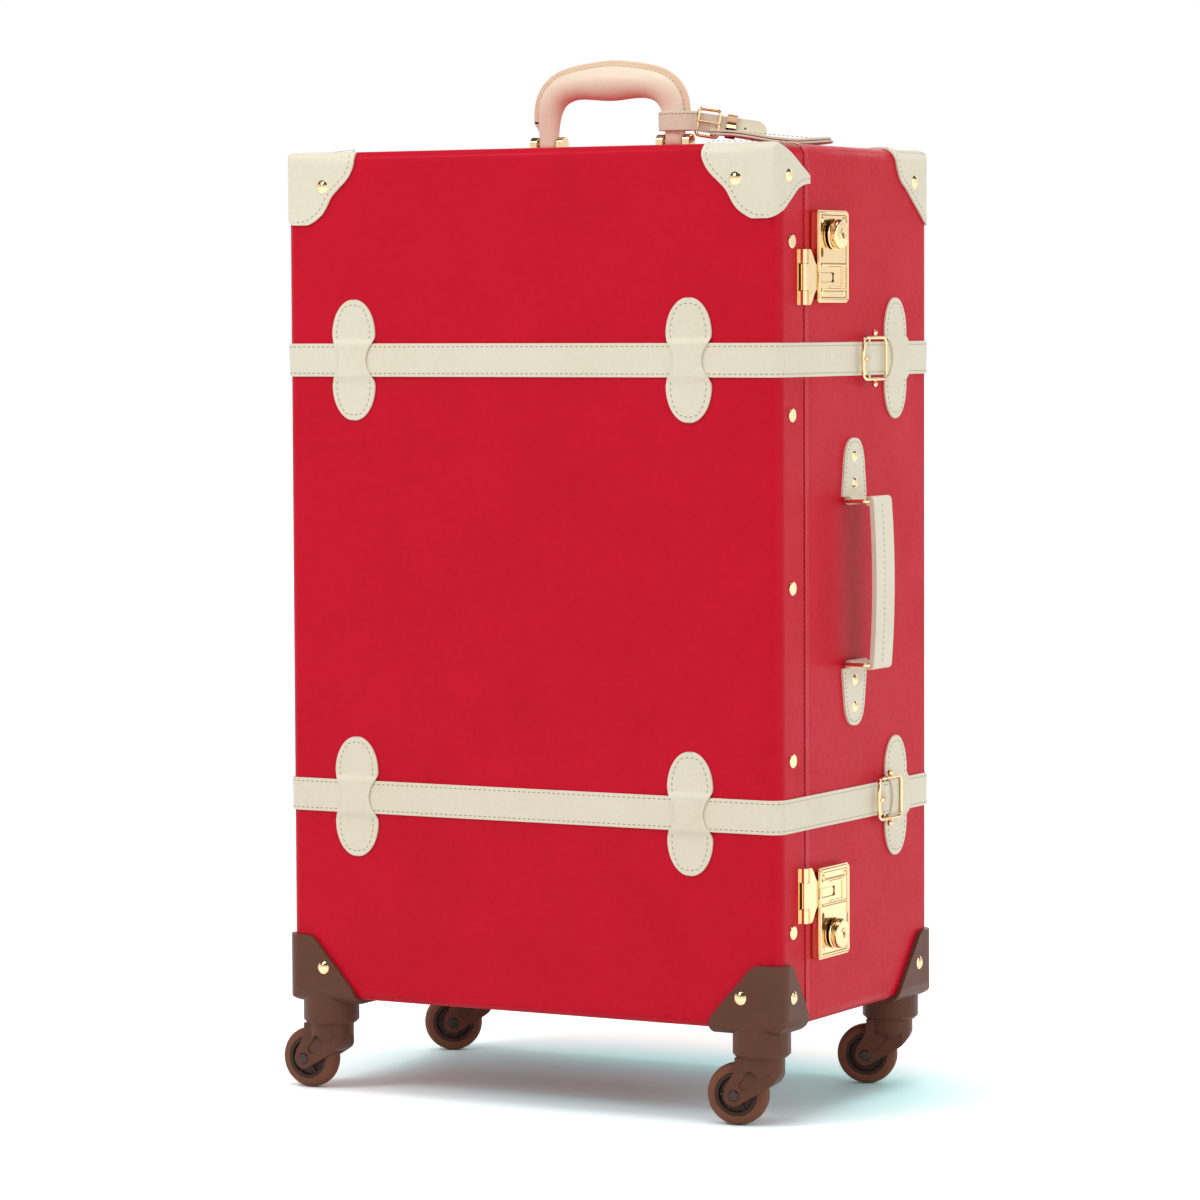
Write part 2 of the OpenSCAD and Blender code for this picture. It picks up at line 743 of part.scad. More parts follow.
module hasp(i) {
    color(gold) translate([right_x, hasp_axis_y, hasp_zs[i]]) difference() {
        union() {
            translate([hasp_off, 0, -hasp_mid / 2]) cylinder(h = hasp_mid, d = hasp_barrel);
            translate([leaf_off, 0, 0]) rotate([90, 0, 90]) linear_extrude(hasp_leaf_t) hasp_outline();
        }
        translate([hasp_off, 0, -hasp_mid]) cylinder(h = 2 * hasp_mid, r = hasp_pin / 2 + run);
    }
}
module hasp_upper() {
    hasp(0);
}
module hasp_lower() {
    hasp(1);
}

/* Side handle */

side_y = seam_y + 75.5;
tab_w = 41;
tab_h = 45;
tab_t = 2;
fold_r = ring_wire / 2 + 1.6;
fold_half = side_grip_w / 2 - 2;
ring_off = fold_r + 0.2;                         // ring pivots above the wall
pivot_dz = side_grip_h / 2 - 4;                  // ring pivots either side of the middle
ring_half = side_grip_w / 2 + 2 + ring_wire / 2;

// Half of a tab's outline, as shares of half its width and of its height
tab_pts = [
    [1, 0], [0.98, 0.15], [0.89, 0.42], [0.83, 0.62], [0.72, 0.79], [0.52, 0.92], [0.28, 0.985], [0, 1]
];

module side_tab() {
    half = scaled(tab_pts, tab_w / 2, tab_h);
    other = [for (i = [len(half) - 1 : -1 : 0]) [-half[i][0], half[i][1]]];
    translate([0, 0, fold_r]) rotate([90, 0, 90]) linear_extrude(tab_t)
        polygon(concat(smooth(half), smooth(other)));
    translate([0, -fold_half, 0]) difference() {
        union() {
            translate([ring_off, 0, 0]) rotate([-90, 0, 0]) cylinder(h = 2 * fold_half, r = fold_r);
            cube([ring_off, 2 * fold_half, fold_r + 1]);
        }
        translate([ring_off, -1, 0]) rotate([-90, 0, 0])
            cylinder(h = 2 * fold_half + 2, r = ring_wire / 2 + run);
    }
}

module side_handle_tabs() {
    color(cream) for (s = [0, 1]) translate([right_x, side_y, mid_z]) mirror([0, 0, s])
        translate([0, 0, pivot_dz]) side_tab();
}

// A wire ring in the horizontal plane with true round corners, swinging on its inner bar
module side_ring(s) {
    r = ring_wire / 2;
    bend = 3.5;
    color(gold) translate([right_x + ring_off, side_y, mid_z + s * pivot_dz]) {
        for (x = [0, ring_reach]) translate([x, bend - ring_half, 0]) rotate([-90, 0, 0])
            cylinder(h = 2 * (ring_half - bend), r = r);
        for (y = [-1, 1]) translate([bend, y * ring_half, 0]) rotate([0, 90, 0])
            cylinder(h = ring_reach - 2 * bend, r = r);
        for (x = [0, 1], y = [0, 1]) translate([x * ring_reach, 0, 0]) mirror([x, 0, 0]) mirror([0, y, 0])
            translate([bend, bend - ring_half, 0]) rotate(180) rotate_extrude(angle = 90)
                translate([bend, 0]) circle(r);
    }
}
module side_ring_upper() {
    side_ring(1);
}
module side_ring_lower() {
    side_ring(-1);
}

module side_handle_grip() {
    end_r = ring_wire / 2 + 2.2;
    bow = 2.5;
    x_bar = right_x + ring_off + ring_reach;
    arc_r = (pivot_dz * pivot_dz + bow * bow) / (2 * bow);
    color(cream) translate([x_bar, side_y + side_grip_w / 2, mid_z]) rotate([90, 0, 0]) difference() {
        linear_extrude(side_grip_w) union() {
            intersection() {
                difference() {
                    translate([bow - arc_r, 0]) circle(arc_r + end_r, $fn = 200);
                    translate([bow - arc_r, 0]) circle(arc_r, $fn = 200);
                }
                square([80, 2 * pivot_dz], center = true);
            }
            for (s = [-1, 1]) translate([0, s * pivot_dz]) circle(end_r);
        }
        for (s = [-1, 1]) translate([0, s * pivot_dz, -1])
            cylinder(h = side_grip_w + 2, r = ring_wire / 2 + run);
    }
}

/* Top handle */

handle_y = 7;
lug_t = 6;
lug_r = 5.5;
pivot_up = 8;                                    // pivot height above the case
leg_t = 17;                                      // width of a handle leg
leg_x = handle_w / 2 - 14.5;                     // middle of a leg
leg_d = 12;                                      // depth of a handle leg
handle_pin = 4;

module top_handle_brackets() {
    gap = leg_t / 2 + slide;
    foot_t = 1.5;
    color(gold) for (s = [-1, 1]) translate([s * leg_x, handle_y, top_z]) union() {
        for (e = [-1, 1]) translate([e * (gap + lug_t / 2), 0, 0]) {
            translate([0, 0, pivot_up]) rotate([0, 90, 0]) cylinder(h = lug_t, r = lug_r, center = true);
            translate([0, 0, pivot_up / 2]) cube([lug_t, 2 * lug_r, pivot_up], center = true);
            translate([e * foot_t, 0, foot_t / 2])
                cube([lug_t + 2 * foot_t, 2 * lug_r + 6, foot_t], center = true);
        }
        translate([0, 0, pivot_up]) rotate([0, 90, 0])
            cylinder(h = 2 * gap + 2, d = handle_pin, center = true);
    }
}

// Middle line of the padding at a share of its length: steep legs, well-rounded shoulders
arch_n = 4;
arch_h = handle_h - grip_edge - grip_t / 2 - pivot_up;
function arch_pt(u) = let (
    c = cos(180 * u), s = sin(180 * u),
    r = 1 / pow(pow(abs(c) / leg_x, arch_n) + pow(s / arch_h, arch_n), 1 / arch_n)
) [-r * c, r * s];

// A soft step from 0 to 1 between two shares, the same from both ends
function step(u, from, to) = (1 - cos(180 * min(max((min(u, 1 - u) - from) / (to - from), 0), 1))) / 2;

// Half the padding's thickness in the plane of the handle, half its depth, and its sewn edge
shoulder_t = 22.6;
function pad_in(u) = leg_t / 2 + (shoulder_t - leg_t) / 2 * step(u, 0.02, 0.2)
    + (grip_t - shoulder_t) / 2 * step(u, 0.27, 0.5);
function pad_deep(u) = leg_d / 2 + 6 * step(u, 0.05, 0.4);
edge_from = asin((lug_r + 3) / leg_x) / 180;     // the sewn edge starts above the lugs
function edge_out(u) = pad_in(u) + grip_edge * step(u, edge_from, edge_from + 0.04);
edge_half = 1.4;                                 // half the thickness of the sewn edge

// Section of the handle at a share of its length: outwards in the plane, and across it
pad_sides = 15;
function pad_section(u) = let (
    a = pad_in(u), b = pad_deep(u), foot = edge_half + 0.3, f = a * sqrt(1 - pow(foot / b, 2))
) concat(
    [[edge_out(u), edge_half], [f, foot]],
    [for (k = [0 : pad_sides - 1]) let (t = 20 + 320 * k / (pad_sides - 1)) [a * cos(t), b * sin(t)]],
    [[f, -foot], [edge_out(u), -edge_half]]
);

pad_rings = 36;
foot_rings = 3;                                  // rings of the round foot below each pivot
foot_drop = 5;
module padded_arch() {
    n = pad_sides + 4;
    last = pad_rings + foot_rings;
    pts = [for (i = [-foot_rings : last])
        let (u = min(max(i, 0), pad_rings) / pad_rings,
             below = foot_drop / foot_rings * max(-i, i - pad_rings, 0),
             share = sqrt(1 - pow(2 * below / leg_d, 2)),
             p = arch_pt(u) - [0, below],
             d = arch_pt(min(u + 0.01, 1)) - arch_pt(max(u - 0.01, 0)),
             out = [-d[1], d[0]] / norm(d))
        for (w = pad_section(u)) [p[0] + out[0] * w[0], w[1] * share, p[1] + out[1] * w[0]]];
    faces = concat(
        [[for (k = [n - 1 : -1 : 0]) k]],
        [for (i = [0 : last + foot_rings - 1], k = [0 : n - 1]) let (a = i * n + k, b = i * n + (k + 1) % n)
            each [[a, b + n, a + n], [a, b, b + n]]],
        [[for (k = [0 : n - 1]) (last + foot_rings) * n + k]]
    );
    polyhedron(pts, faces);
}

module top_handle_grip() {
    color(peach) translate([0, handle_y, top_z + pivot_up]) difference() {
        padded_arch();
        for (s = [-1, 1]) translate([s * leg_x, 0, 0]) rotate([0, 90, 0])
            cylinder(h = leg_t + 2, r = handle_pin / 2 + run, center = true);
    }
}

/* Luggage tag */

tag_l = 100;
tag_w = 52;
tag_t = 3.6;
tag_turn = 27;                                   // heading of the tag, from +X towards the back
tag_start = 24;                                  // from the handle leg to the tag
tag_band = 15;
tag_band_up = 23.5;                              // middle of the strap above the case

// Anything of the tag, in a frame at the foot of the right handle leg
module tag_frame() {
    translate([leg_x, handle_y, top_z]) rotate(tag_turn) children();
}

module tag_body() {
    color(cream) tag_frame() translate([tag_start + tag_l / 2, 0, seat])
        linear_extrude(tag_t) rounded_rect(tag_l, tag_w, 12);
}

module tag_strap() {
    t = 1.6;
    ring_in = leg_x - shoulder_t / 2 - 0.6;      // inner edge of the leg
    ring_out = leg_x + shoulder_t / 2 + grip_edge + 1;
    ring_w = ring_out - ring_in;
    ring_d = leg_d + 5;
    ring_r = ring_d / 2 - 0.1;
    arm_start = (ring_out - leg_x) * cos(tag_turn) - 1;
    arm_end = tag_start + 24;
    hanger_x = tag_start + 6;
    pad = 16;
    color(cream) union() {
        translate([(ring_in + ring_out) / 2, handle_y, top_z + tag_band_up])
            linear_extrude(tag_band, center = true)
            difference() {
                rounded_rect(ring_w + 2 * t, ring_d + 2 * t, ring_r + t);
                rounded_rect(ring_w, ring_d, ring_r);
            }
        tag_frame() {
            translate([arm_start, -t / 2, tag_band_up - tag_band / 2])
                cube([arm_end - arm_start, t, tag_band]);
            translate([hanger_x, -t / 2, seat + tag_t]) cube([pad, t, tag_band_up - tag_band / 2 - tag_t]);
            translate([hanger_x, -pad / 2, seat + tag_t]) cube([pad, pad, t]);
        }
    }
}

module tag_buckle() {
    wire = 2;
    x = tag_start + 1.5;                         // clear of the band round the leg
    color(gold) tag_frame() translate([x, -0.8 - seat - wire / 2, tag_band_up]) difference() {
        cube([14, wire, 20], center = true);
        cube([10, 3 * wire, 16], center = true);
    }
}

/* Trolley */

tube_top = top_z - recess_h - cup_t;
tube_foot = case_z + wall;
fit = 0.5;                                       // all round, between inner and outer tube
inner_w = tube_w - 2 * tube_wall - 2 * fit;
inner_d = tube_d - 2 * tube_wall - 2 * fit;
keep_in = 60;                                    // tube left inside at full travel
inner_len = trolley_travel + keep_in;
grip_h = recess_h - 5;
grip_d = 15;
grip_y = cup_y + (cup_dp - grip_d) / 2 - 1;      // the grip sits behind a finger gap
grip_z = top_z - 1;

module trolley_cup() {
    color(black) difference() {
        union() {
            translate([0, cup_y, top_z]) linear_extrude(1.5)
                rounded_rect(cup_w + 2 * (cup_t + cup_lip), cup_dp + 2 * (cup_t + cup_lip), 5);
            translate([0, cup_y, top_z - recess_h - cup_t]) linear_extrude(recess_h + cup_t + 1)
                square([cup_w + 2 * cup_t, cup_dp + 2 * cup_t], center = true);
        }
        translate([0, cup_y, top_z - recess_h / 2 + 5]) cube([cup_w, cup_dp, recess_h + 10], center = true);
        for (s = [-1, 1]) translate([s * trolley_pitch / 2, grip_y, top_z - recess_h])
            cube([inner_w + 2 * fit, inner_d + 2 * fit, 4 * cup_t], center = true);
    }
}

module tube(w, d, t, z0, z1) {
    translate([0, 0, z0]) linear_extrude(z1 - z0) difference() {
        rounded_rect(w, d, 4);
        rounded_rect(w - 2 * t, d - 2 * t, 4 - t);
    }
}

module trolley_outer_tubes() {
    color(silver) for (s = [-1, 1]) translate([s * trolley_pitch / 2, grip_y, 0])
        tube(tube_w, tube_d, tube_wall, tube_foot, tube_top);
}

module trolley_inner_tubes() {
    color(silver) for (s = [-1, 1]) translate([s * trolley_pitch / 2, grip_y, 0])
        tube(inner_w, inner_d, 1, grip_z - grip_h - inner_len, grip_z - grip_h);
}

button_w = 30;
button_d = 8;
button_h = 6;
button_travel = 2.5;
module trolley_grip() {
    color(black) translate([0, grip_y, grip_z - grip_h / 2]) difference() {
        rotate([90, 0, 0]) linear_extrude(grip_d, center = true)
            rounded_rect(trolley_pitch + tube_w + 6, grip_h, 6);
        translate([0, 0, grip_h / 2])
            cube([button_w + 2 * slide, button_d + 2 * slide, 2 * (button_h + button_travel)], center = true);
    }
}

module trolley_button() {
    color(silver) translate([0, grip_y, grip_z - button_h / 2 + 0.8])
        cube([button_w, button_d, button_h], center = true);
}

/* Feet and rivets */

foot_zs = [strap_zs[1] - strap_w / 2 - 47, strap_zs[0] + strap_w / 2 + 47];
foot_ys = [seam_y + 50, back_y - 38];
module side_feet() {
    color(gold) for (z = foot_zs, y = foot_ys) translate([left_x, y, z]) rotate([0, -90, 0]) union() {
        cylinder(h = 1.5, d = foot_d + 6);
        cylinder(h = foot_h, d = foot_d);
    }
}

// A domed rivet standing on a flat face, pointing along z
module dome_rivet(d) {
    rise = d * 0.19;
    r = (d * d / 4 + rise * rise) / (2 * rise);
    intersection() {
        translate([0, 0, rise - r]) sphere(r);
        cylinder(h = rise + 1, d = d);
    }
}

module slotted_screw() {
    difference() {
        dome_rivet(5);
        translate([0, 0, 0.95]) cube([6, 0.8, 0.8], center = true);
    }
}

module flat_rivet() {
    cylinder(h = 0.8, d = 11);
    translate([0, 0, 0.8]) cylinder(h = 0.5, d1 = 11, d2 = 9.5);
}

rivet_d = 10.5;
cap_rivet_in = cap_len * 0.55;                   // from the corner along the broad face
cap_rivet_down = cap_drop * 0.46;
guard_rivet_in = guard_len * 0.53;
guard_rivet_up = guard_h / 2;
rivet_row_y = front_y + 22;
rivet_pitch = (body_h / 2 - 74) / 2;             // five in a row down each side of the lid

// The rivets of the two corners at one depth side, at +X
module corner_rivets(face, cap_side_in, guard_side_in) {
    cap_off = seat + cap_t;
    guard_off = seat + guard_t;
    turn = face > 0 ? -90 : 90;
    translate([right_x - cap_rivet_in, face * (back_y + cap_off), top_z - cap_rivet_down])
        rotate([turn, 0, 0]) dome_rivet(rivet_d);
    translate([right_x + cap_off, face * (back_y - cap_side_in), top_z - cap_rivet_down + 2])
        rotate([0, 90, 0]) dome_rivet(rivet_d);
    translate([right_x - guard_rivet_in, face * (back_y + guard_off), case_z + guard_rivet_up])
        rotate([turn, 0, 0]) dome_rivet(rivet_d);
    translate([right_x + guard_off, face * (back_y - guard_side_in), case_z + guard_rivet_up])
        rotate([0, 90, 0]) dome_rivet(rivet_d);
}

module base_fasteners() {
    color(gold) {
        for (s = [0, 1]) mirror([s, 0, 0]) corner_rivets(1, cap_len * 0.46, guard_len * 0.42);
        for (s = [-1, 1], up = [0.22, 0.68])
            translate([right_x + tab_t, side_y, mid_z + s * (pivot_dz + fold_r + up * tab_h)])
                rotate([0, 90, 0]) dome_rivet(9);
        for (z = lock_zs, y = [-1, 1], e = [-1, 1])
            translate([right_x + lock_t - 0.4, lock_y + y * (lock_w / 2 - 7.5), z + e * (lock_h / 2 - 7.5)])
                rotate([0, 90, 0]) slotted_screw();
    }
}

module lid_fasteners() {
    color(gold) for (s = [0, 1]) mirror([s, 0, 0]) {
        corner_rivets(-1, 14.5, 16.5);
        for (k = [-2 : 2]) translate([right_x, rivet_row_y, mid_z + k * rivet_pitch])
            rotate([0, 90, 0]) flat_rivet();
    }
}

/* Casters */

slot_w = wheel_w + 2;                            // wheel slot in the fork
fork_w = slot_w + 2 * arm_t;                     // width across the arms
boss_r = axle_d / 2 + 5.2;
caster_x = right_x - caster_in_x;
caster_y = back_y - caster_in_y;

// Where each caster points at rest, turned from straight to the left
turn_front_left = 0;
turn_front_right = 10;
turn_rear_left = 30;
turn_rear_right = 18;

// Side view of a fork: an elbow from the neck down to the axle
module fork_outline() {
    half = neck_d / 2;
    polygon(concat(
        [[-half, 0], [half, 0]],
        smooth([[half, -8.5], [half - 1.5, -13], [half - 5, -18.5], [half - 11, -23.5],
            [boss_r * 0.55 - trail, -fork_h - boss_r * 0.83]]),
        [[-trail, -fork_h]],
        smooth([[-trail - boss_r, -fork_h], [-trail - boss_r * 0.85, -fork_h + 6],
            [-trail - 4, -fork_h + 11], [-half - 1, -11.5], [-half, -5]])
    ));
    translate([-trail, -fork_h]) circle(boss_r);
}

module caster_fork(x, y, turn) {
    neck_h = 10;
    color(brown) translate([x, y, fork_top]) rotate(turn) difference() {
        union() {
            translate([0, 0, -neck_h]) cylinder(h = neck_h, d = neck_d);
            translate([0, 0, -neck_h - 6]) intersection() {
                cylinder(h = 6.01, d1 = fork_w, d2 = neck_d);
                translate([0, 0, neck_h + 6]) rotate([90, 0, 0]) linear_extrude(neck_d, center = true)
                    fork_outline();
            }
            intersection() {
                rotate([90, 0, 0]) linear_extrude(fork_w, center = true) fork_outline();
                union() {
                    translate([0, 0, -far / 2]) cylinder(h = far, d = neck_d);
                    translate([-far, -far / 2, -far / 2]) cube(far);
                }
            }
        }
        // wheel slot
        translate([-trail, 0, -fork_h]) rotate([90, 0, 0])
            cylinder(h = slot_w, d = wheel_d + 4, center = true);
        // axle bore
        translate([-trail, 0, -fork_h]) rotate([90, 0, 0])
            cylinder(h = fork_w + 2, r = axle_d / 2 + run, center = true);
        // kingpin bore and the room for its head
        translate([0, 0, -kingpin_len]) cylinder(h = kingpin_len + 1, r = kingpin_d / 2 + run);
        translate([0, 0, -kingpin_len - 1])
            cylinder(h = kingpin_head_h + 1 + slide, d = kingpin_head_d + 2 * slide);
        // oval hollow in each arm
        for (s = [0, 1]) mirror([0, s, 0]) translate([-7, fork_w / 2 - 1, -17]) rotate([-90, 0, 0])
            rotate(-50) linear_extrude(5) rounded_rect(18, 8, 3.9);
    }
}

// Things round the axle of the caster at x, y, lying along Z
module at_axle(x, y, turn) {
    translate([x, y, axle_z]) rotate(turn) translate([-trail, 0, 0]) rotate([90, 0, 0]) children();
}

module caster_axle(x, y, turn) {
    head_d = axle_d + 3;
    color(steel) at_axle(x, y, turn) {
        cylinder(h = fork_w, d = axle_d, center = true);
        for (s = [0, 1]) mirror([0, 0, s]) translate([0, 0, fork_w / 2])
            cylinder(h = 1, d1 = head_d, d2 = head_d - 1.5);
    }
}

hub_r = wheel_d / 2 - 7.5;
module caster_hub(x, y, turn) {
    color(brown) at_axle(x, y, turn) difference() {
        union() {
            cylinder(h = wheel_w / 2, r = hub_r, center = true);
            cylinder(h = wheel_w - 1, r = hub_r - 0.01, center = true);
            cylinder(h = wheel_w + 1, d = axle_d + 7, center = true);
        }
        for (s = [0, 1]) mirror([0, 0, s]) translate([0, 0, wheel_w / 2 - 4]) difference() {
            cylinder(h = wheel_w, r = hub_r - 2);
            translate([0, 0, -1]) cylinder(h = wheel_w + 2, d = axle_d + 7);
        }
        cylinder(h = 2 * wheel_w, r = axle_d / 2 + run, center = true);
    }
}

module caster_tyre(x, y, turn) {
    tread_r = 4;
    color(brown) at_axle(x, y, turn) rotate_extrude($fn = 96)
        translate([(wheel_d / 2 + hub_r + run) / 2, 0]) intersection() {
            translate([-10, 0]) rounded_rect(wheel_d / 2 - hub_r - run + 20, wheel_w, tread_r);
            square([wheel_d / 2 - hub_r - run, wheel_w], center = true);
        }
}

module fork_front_left() {
    caster_fork(-caster_x, -caster_y, turn_front_left);
}
module fork_front_right() {
    caster_fork(caster_x, -caster_y, turn_front_right);
}
module fork_rear_left() {
    caster_fork(-caster_x, caster_y, turn_rear_left);
}
module fork_rear_right() {
    caster_fork(caster_x, caster_y, turn_rear_right);
}
module axle_front_left() {
    caster_axle(-caster_x, -caster_y, turn_front_left);
}
module axle_front_right() {
    caster_axle(caster_x, -caster_y, turn_front_right);
}
module axle_rear_left() {
    caster_axle(-caster_x, caster_y, turn_rear_left);
}
module axle_rear_right() {
    caster_axle(caster_x, caster_y, turn_rear_right);
}
module hub_front_left() {
    caster_hub(-caster_x, -caster_y, turn_front_left);
}
module hub_front_right() {
    caster_hub(caster_x, -caster_y, turn_front_right);
}
module hub_rear_left() {
    caster_hub(-caster_x, caster_y, turn_rear_left);
}
module hub_rear_right() {
    caster_hub(caster_x, caster_y, turn_rear_right);
}
module tyre_front_left() {
    caster_tyre(-caster_x, -caster_y, turn_front_left);
}
module tyre_front_right() {
    caster_tyre(caster_x, -caster_y, turn_front_right);
}
module tyre_rear_left() {
    caster_tyre(-caster_x, caster_y, turn_rear_left);
}
module tyre_rear_right() {
    caster_tyre(caster_x, caster_y, turn_rear_right);
}

base_shell();
base_lining();
base_rim();
trolley_cover();
hinge_base_leaves();
base_corner_caps();
base_foot_guards();
base_straps();
strap_bends();
base_strap_loops();
buckle_frames();
buckle_prong_upper();
buckle_prong_lower();
lock_cases();
lock_knob_upper();
lock_knob_lower();
side_handle_tabs();
side_ring_upper();
side_ring_lower();
side_handle_grip();
top_handle_brackets();
top_handle_grip();
tag_body();
tag_strap();
tag_buckle();
trolley_cup();
trolley_outer_tubes();
trolley_inner_tubes();
trolley_grip();
trolley_button();
side_feet();
base_fasteners();
lid_shell();
lid_lining();
hinge_lid_leaves();
lid_corner_caps();
lid_foot_guards();
lid_straps();
strap_tails();
lid_strap_loops();
hasp_plates();
hasp_upper();
hasp_lower();
lid_fasteners();
fork_front_left();
fork_front_right();
fork_rear_left();
fork_rear_right();
axle_front_left();
axle_front_right();
axle_rear_left();
axle_rear_right();
hub_front_left();
hub_front_right();
hub_rear_left();
hub_rear_right();
tyre_front_left();
tyre_front_right();
tyre_rear_left();
tyre_rear_right();
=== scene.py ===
import json
import math

import bmesh
import bpy
from mathutils import Matrix, Vector
from mathutils.bvhtree import BVHTree


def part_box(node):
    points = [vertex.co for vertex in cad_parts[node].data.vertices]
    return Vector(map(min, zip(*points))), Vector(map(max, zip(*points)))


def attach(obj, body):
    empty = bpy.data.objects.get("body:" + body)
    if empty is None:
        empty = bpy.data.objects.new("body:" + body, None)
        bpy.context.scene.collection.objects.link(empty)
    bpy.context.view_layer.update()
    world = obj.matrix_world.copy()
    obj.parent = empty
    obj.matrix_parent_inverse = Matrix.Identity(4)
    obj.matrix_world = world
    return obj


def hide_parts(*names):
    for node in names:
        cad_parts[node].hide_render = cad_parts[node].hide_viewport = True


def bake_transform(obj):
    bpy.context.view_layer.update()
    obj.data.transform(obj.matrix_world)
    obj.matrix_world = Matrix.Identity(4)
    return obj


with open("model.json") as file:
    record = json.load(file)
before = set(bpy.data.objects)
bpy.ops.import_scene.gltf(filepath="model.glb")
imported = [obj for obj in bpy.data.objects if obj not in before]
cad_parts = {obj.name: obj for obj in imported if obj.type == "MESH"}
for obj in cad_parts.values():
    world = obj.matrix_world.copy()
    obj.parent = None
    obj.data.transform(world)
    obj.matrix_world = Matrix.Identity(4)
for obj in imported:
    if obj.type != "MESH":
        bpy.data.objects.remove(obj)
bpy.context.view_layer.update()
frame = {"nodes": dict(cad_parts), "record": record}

# The case, read from its shells, in metres
MM = 0.001
LEFT, FRONT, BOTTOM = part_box("lid_shell")[0]
RIGHT, BACK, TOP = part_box("base_shell")[1]
SEAM = (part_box("lid_shell")[1].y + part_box("base_shell")[0].y) / 2
MIDDLE = (BOTTOM + TOP) / 2
EDGE_R = 10 * MM

X_OUT = Vector((1, 0, 0))
Y_OUT = Vector((0, 1, 0))
Z_OUT = Vector((0, 0, 1))

# Leather straps
STRAP_W = 26 * MM
STRAP_T = 1.6 * MM
STRAP_ZS = (TOP - 163 * MM, BOTTOM + 163 * MM)
PAIR = ("upper", "lower")
SEAT = 0.3 * MM
STITCH_PITCH = 4.4 * MM
STITCH_IN = 2.6 * MM


def linear(red, green, blue):
    """A screen colour, 0 to 255, as the scene colour that renders as it."""
    def channel(c):
        c /= 255
        return c / 12.92 if c < 0.04 else ((c + 0.055) / 1.055) ** 2.4
    return channel(red), channel(green), channel(blue), 1.0


def add(tree, kind, sockets=None, **settings):
    """A shader node with its settings, and values or links for its sockets."""
    made = tree.nodes.new(kind)
    for name, value in settings.items():
        setattr(made, name, value)
    for name, value in (sockets or {}).items():
        if isinstance(value, bpy.types.NodeSocket):
            tree.links.new(value, made.inputs[name])
        else:
            made.inputs[name].default_value = value
    return made


def blank(name, **values):
    """A material, its node tree and its shader with the given values. A name's words are joined by _."""
    made = bpy.data.materials.new(name)
    made.use_nodes = True
    shader = made.node_tree.nodes["Principled BSDF"]
    for socket, value in values.items():
        shader.inputs[socket.replace("_", " ")].default_value = value
    return made, made.node_tree, shader


def blend_colours(tree, factor, first, second):
    """Mixes two colours by a factor socket."""
    mix = add(tree, "ShaderNodeMix", data_type="RGBA")
    tree.links.new(factor, mix.inputs[0])
    mix.inputs[6].default_value = first
    mix.inputs[7].default_value = second
    return mix.outputs[2]


def dyed(tree, factor, first, second):
    """Mixes two screen colours by a factor socket."""
    return blend_colours(tree, factor, linear(*first), linear(*second))


def noise(tree, scale, detail, roughness=0.5):
    """A noise over the object's own coordinates."""
    at = add(tree, "ShaderNodeTexCoord").outputs["Object"]
    settings = {"Vector": at, "Scale": scale, "Detail": detail, "Roughness": roughness}
    return add(tree, "ShaderNodeTexNoise", settings).outputs[0]


def ranged(tree, value, low, high, to_low=0.0, to_high=1.0):
    """Maps a value from one range to another."""
    return add(tree, "ShaderNodeMapRange", {"Value": value, "From Min": low, "From Max": high,
                                            "To Min": to_low, "To Max": to_high}).outputs[0]


def combined(tree, first, second, operation="ADD"):
    """Two values taken together."""
    return add(tree, "ShaderNodeMath", {0: first, 1: second}, operation=operation).outputs[0]


def relief(tree, shader, height, strength, distance):
    """Gives a shader fine relief."""
    bump = add(tree, "ShaderNodeBump", {"Height": height, "Strength": strength, "Distance": distance})
    tree.links.new(bump.outputs[0], shader.inputs["Normal"])


def leather(name, colour, shade, grain, depth, roughness, gloss=0.3):
    """Dyed leather: fine grain, a soft cloudy dye and faint rub marks. Grain is the pebble size."""
    made, tree, shader = blank(name, Specular_IOR_Level=gloss)
    at = add(tree, "ShaderNodeTexCoord").outputs["Object"]
    both = combined(tree, noise(tree, 14, 6, 0.65), noise(tree, 210, 5, 0.7))
    dye = ranged(tree, both, 0.78, 1.3)
    tree.links.new(dyed(tree, dye, colour, shade), shader.inputs["Base Color"])
    pebbles = add(tree, "ShaderNodeTexVoronoi", {"Vector": at, "Scale": 1 / grain}, feature="F1").outputs[0]
    relief(tree, shader, combined(tree, pebbles, noise(tree, 0.8 / grain, 3)), 0.5, depth)
    rough = ranged(tree, both, 0.7, 1.3, roughness - 0.06, roughness + 0.08)
    tree.links.new(rough, shader.inputs["Roughness"])
    return made


def metal(name, colour, roughness):
    """Plated metal with faint smears in its polish."""
    made, tree, shader = blank(name, Base_Color=linear(*colour), Metallic=1.0)
    smear = noise(tree, 160, 4)
    tree.links.new(ranged(tree, smear, 0, 1, roughness * 0.7, roughness * 1.5), shader.inputs["Roughness"])
    relief(tree, shader, smear, 0.2, 0.02 * MM)
    return made


def plastic(name, colour, shade, roughness, texture=0.02, gloss=0.5):
    """Moulded plastic with slight mottling and a fine moulded texture."""
    made, tree, shader = blank(name, Specular_IOR_Level=gloss)
    cloud = noise(tree, 40, 4)
    tree.links.new(dyed(tree, cloud, colour, shade), shader.inputs["Base Color"])
    relief(tree, shader, noise(tree, 1500, 2), 0.3, texture * MM)
    tree.links.new(ranged(tree, cloud, 0, 1, roughness, roughness + 0.08), shader.inputs["Roughness"])
    return made


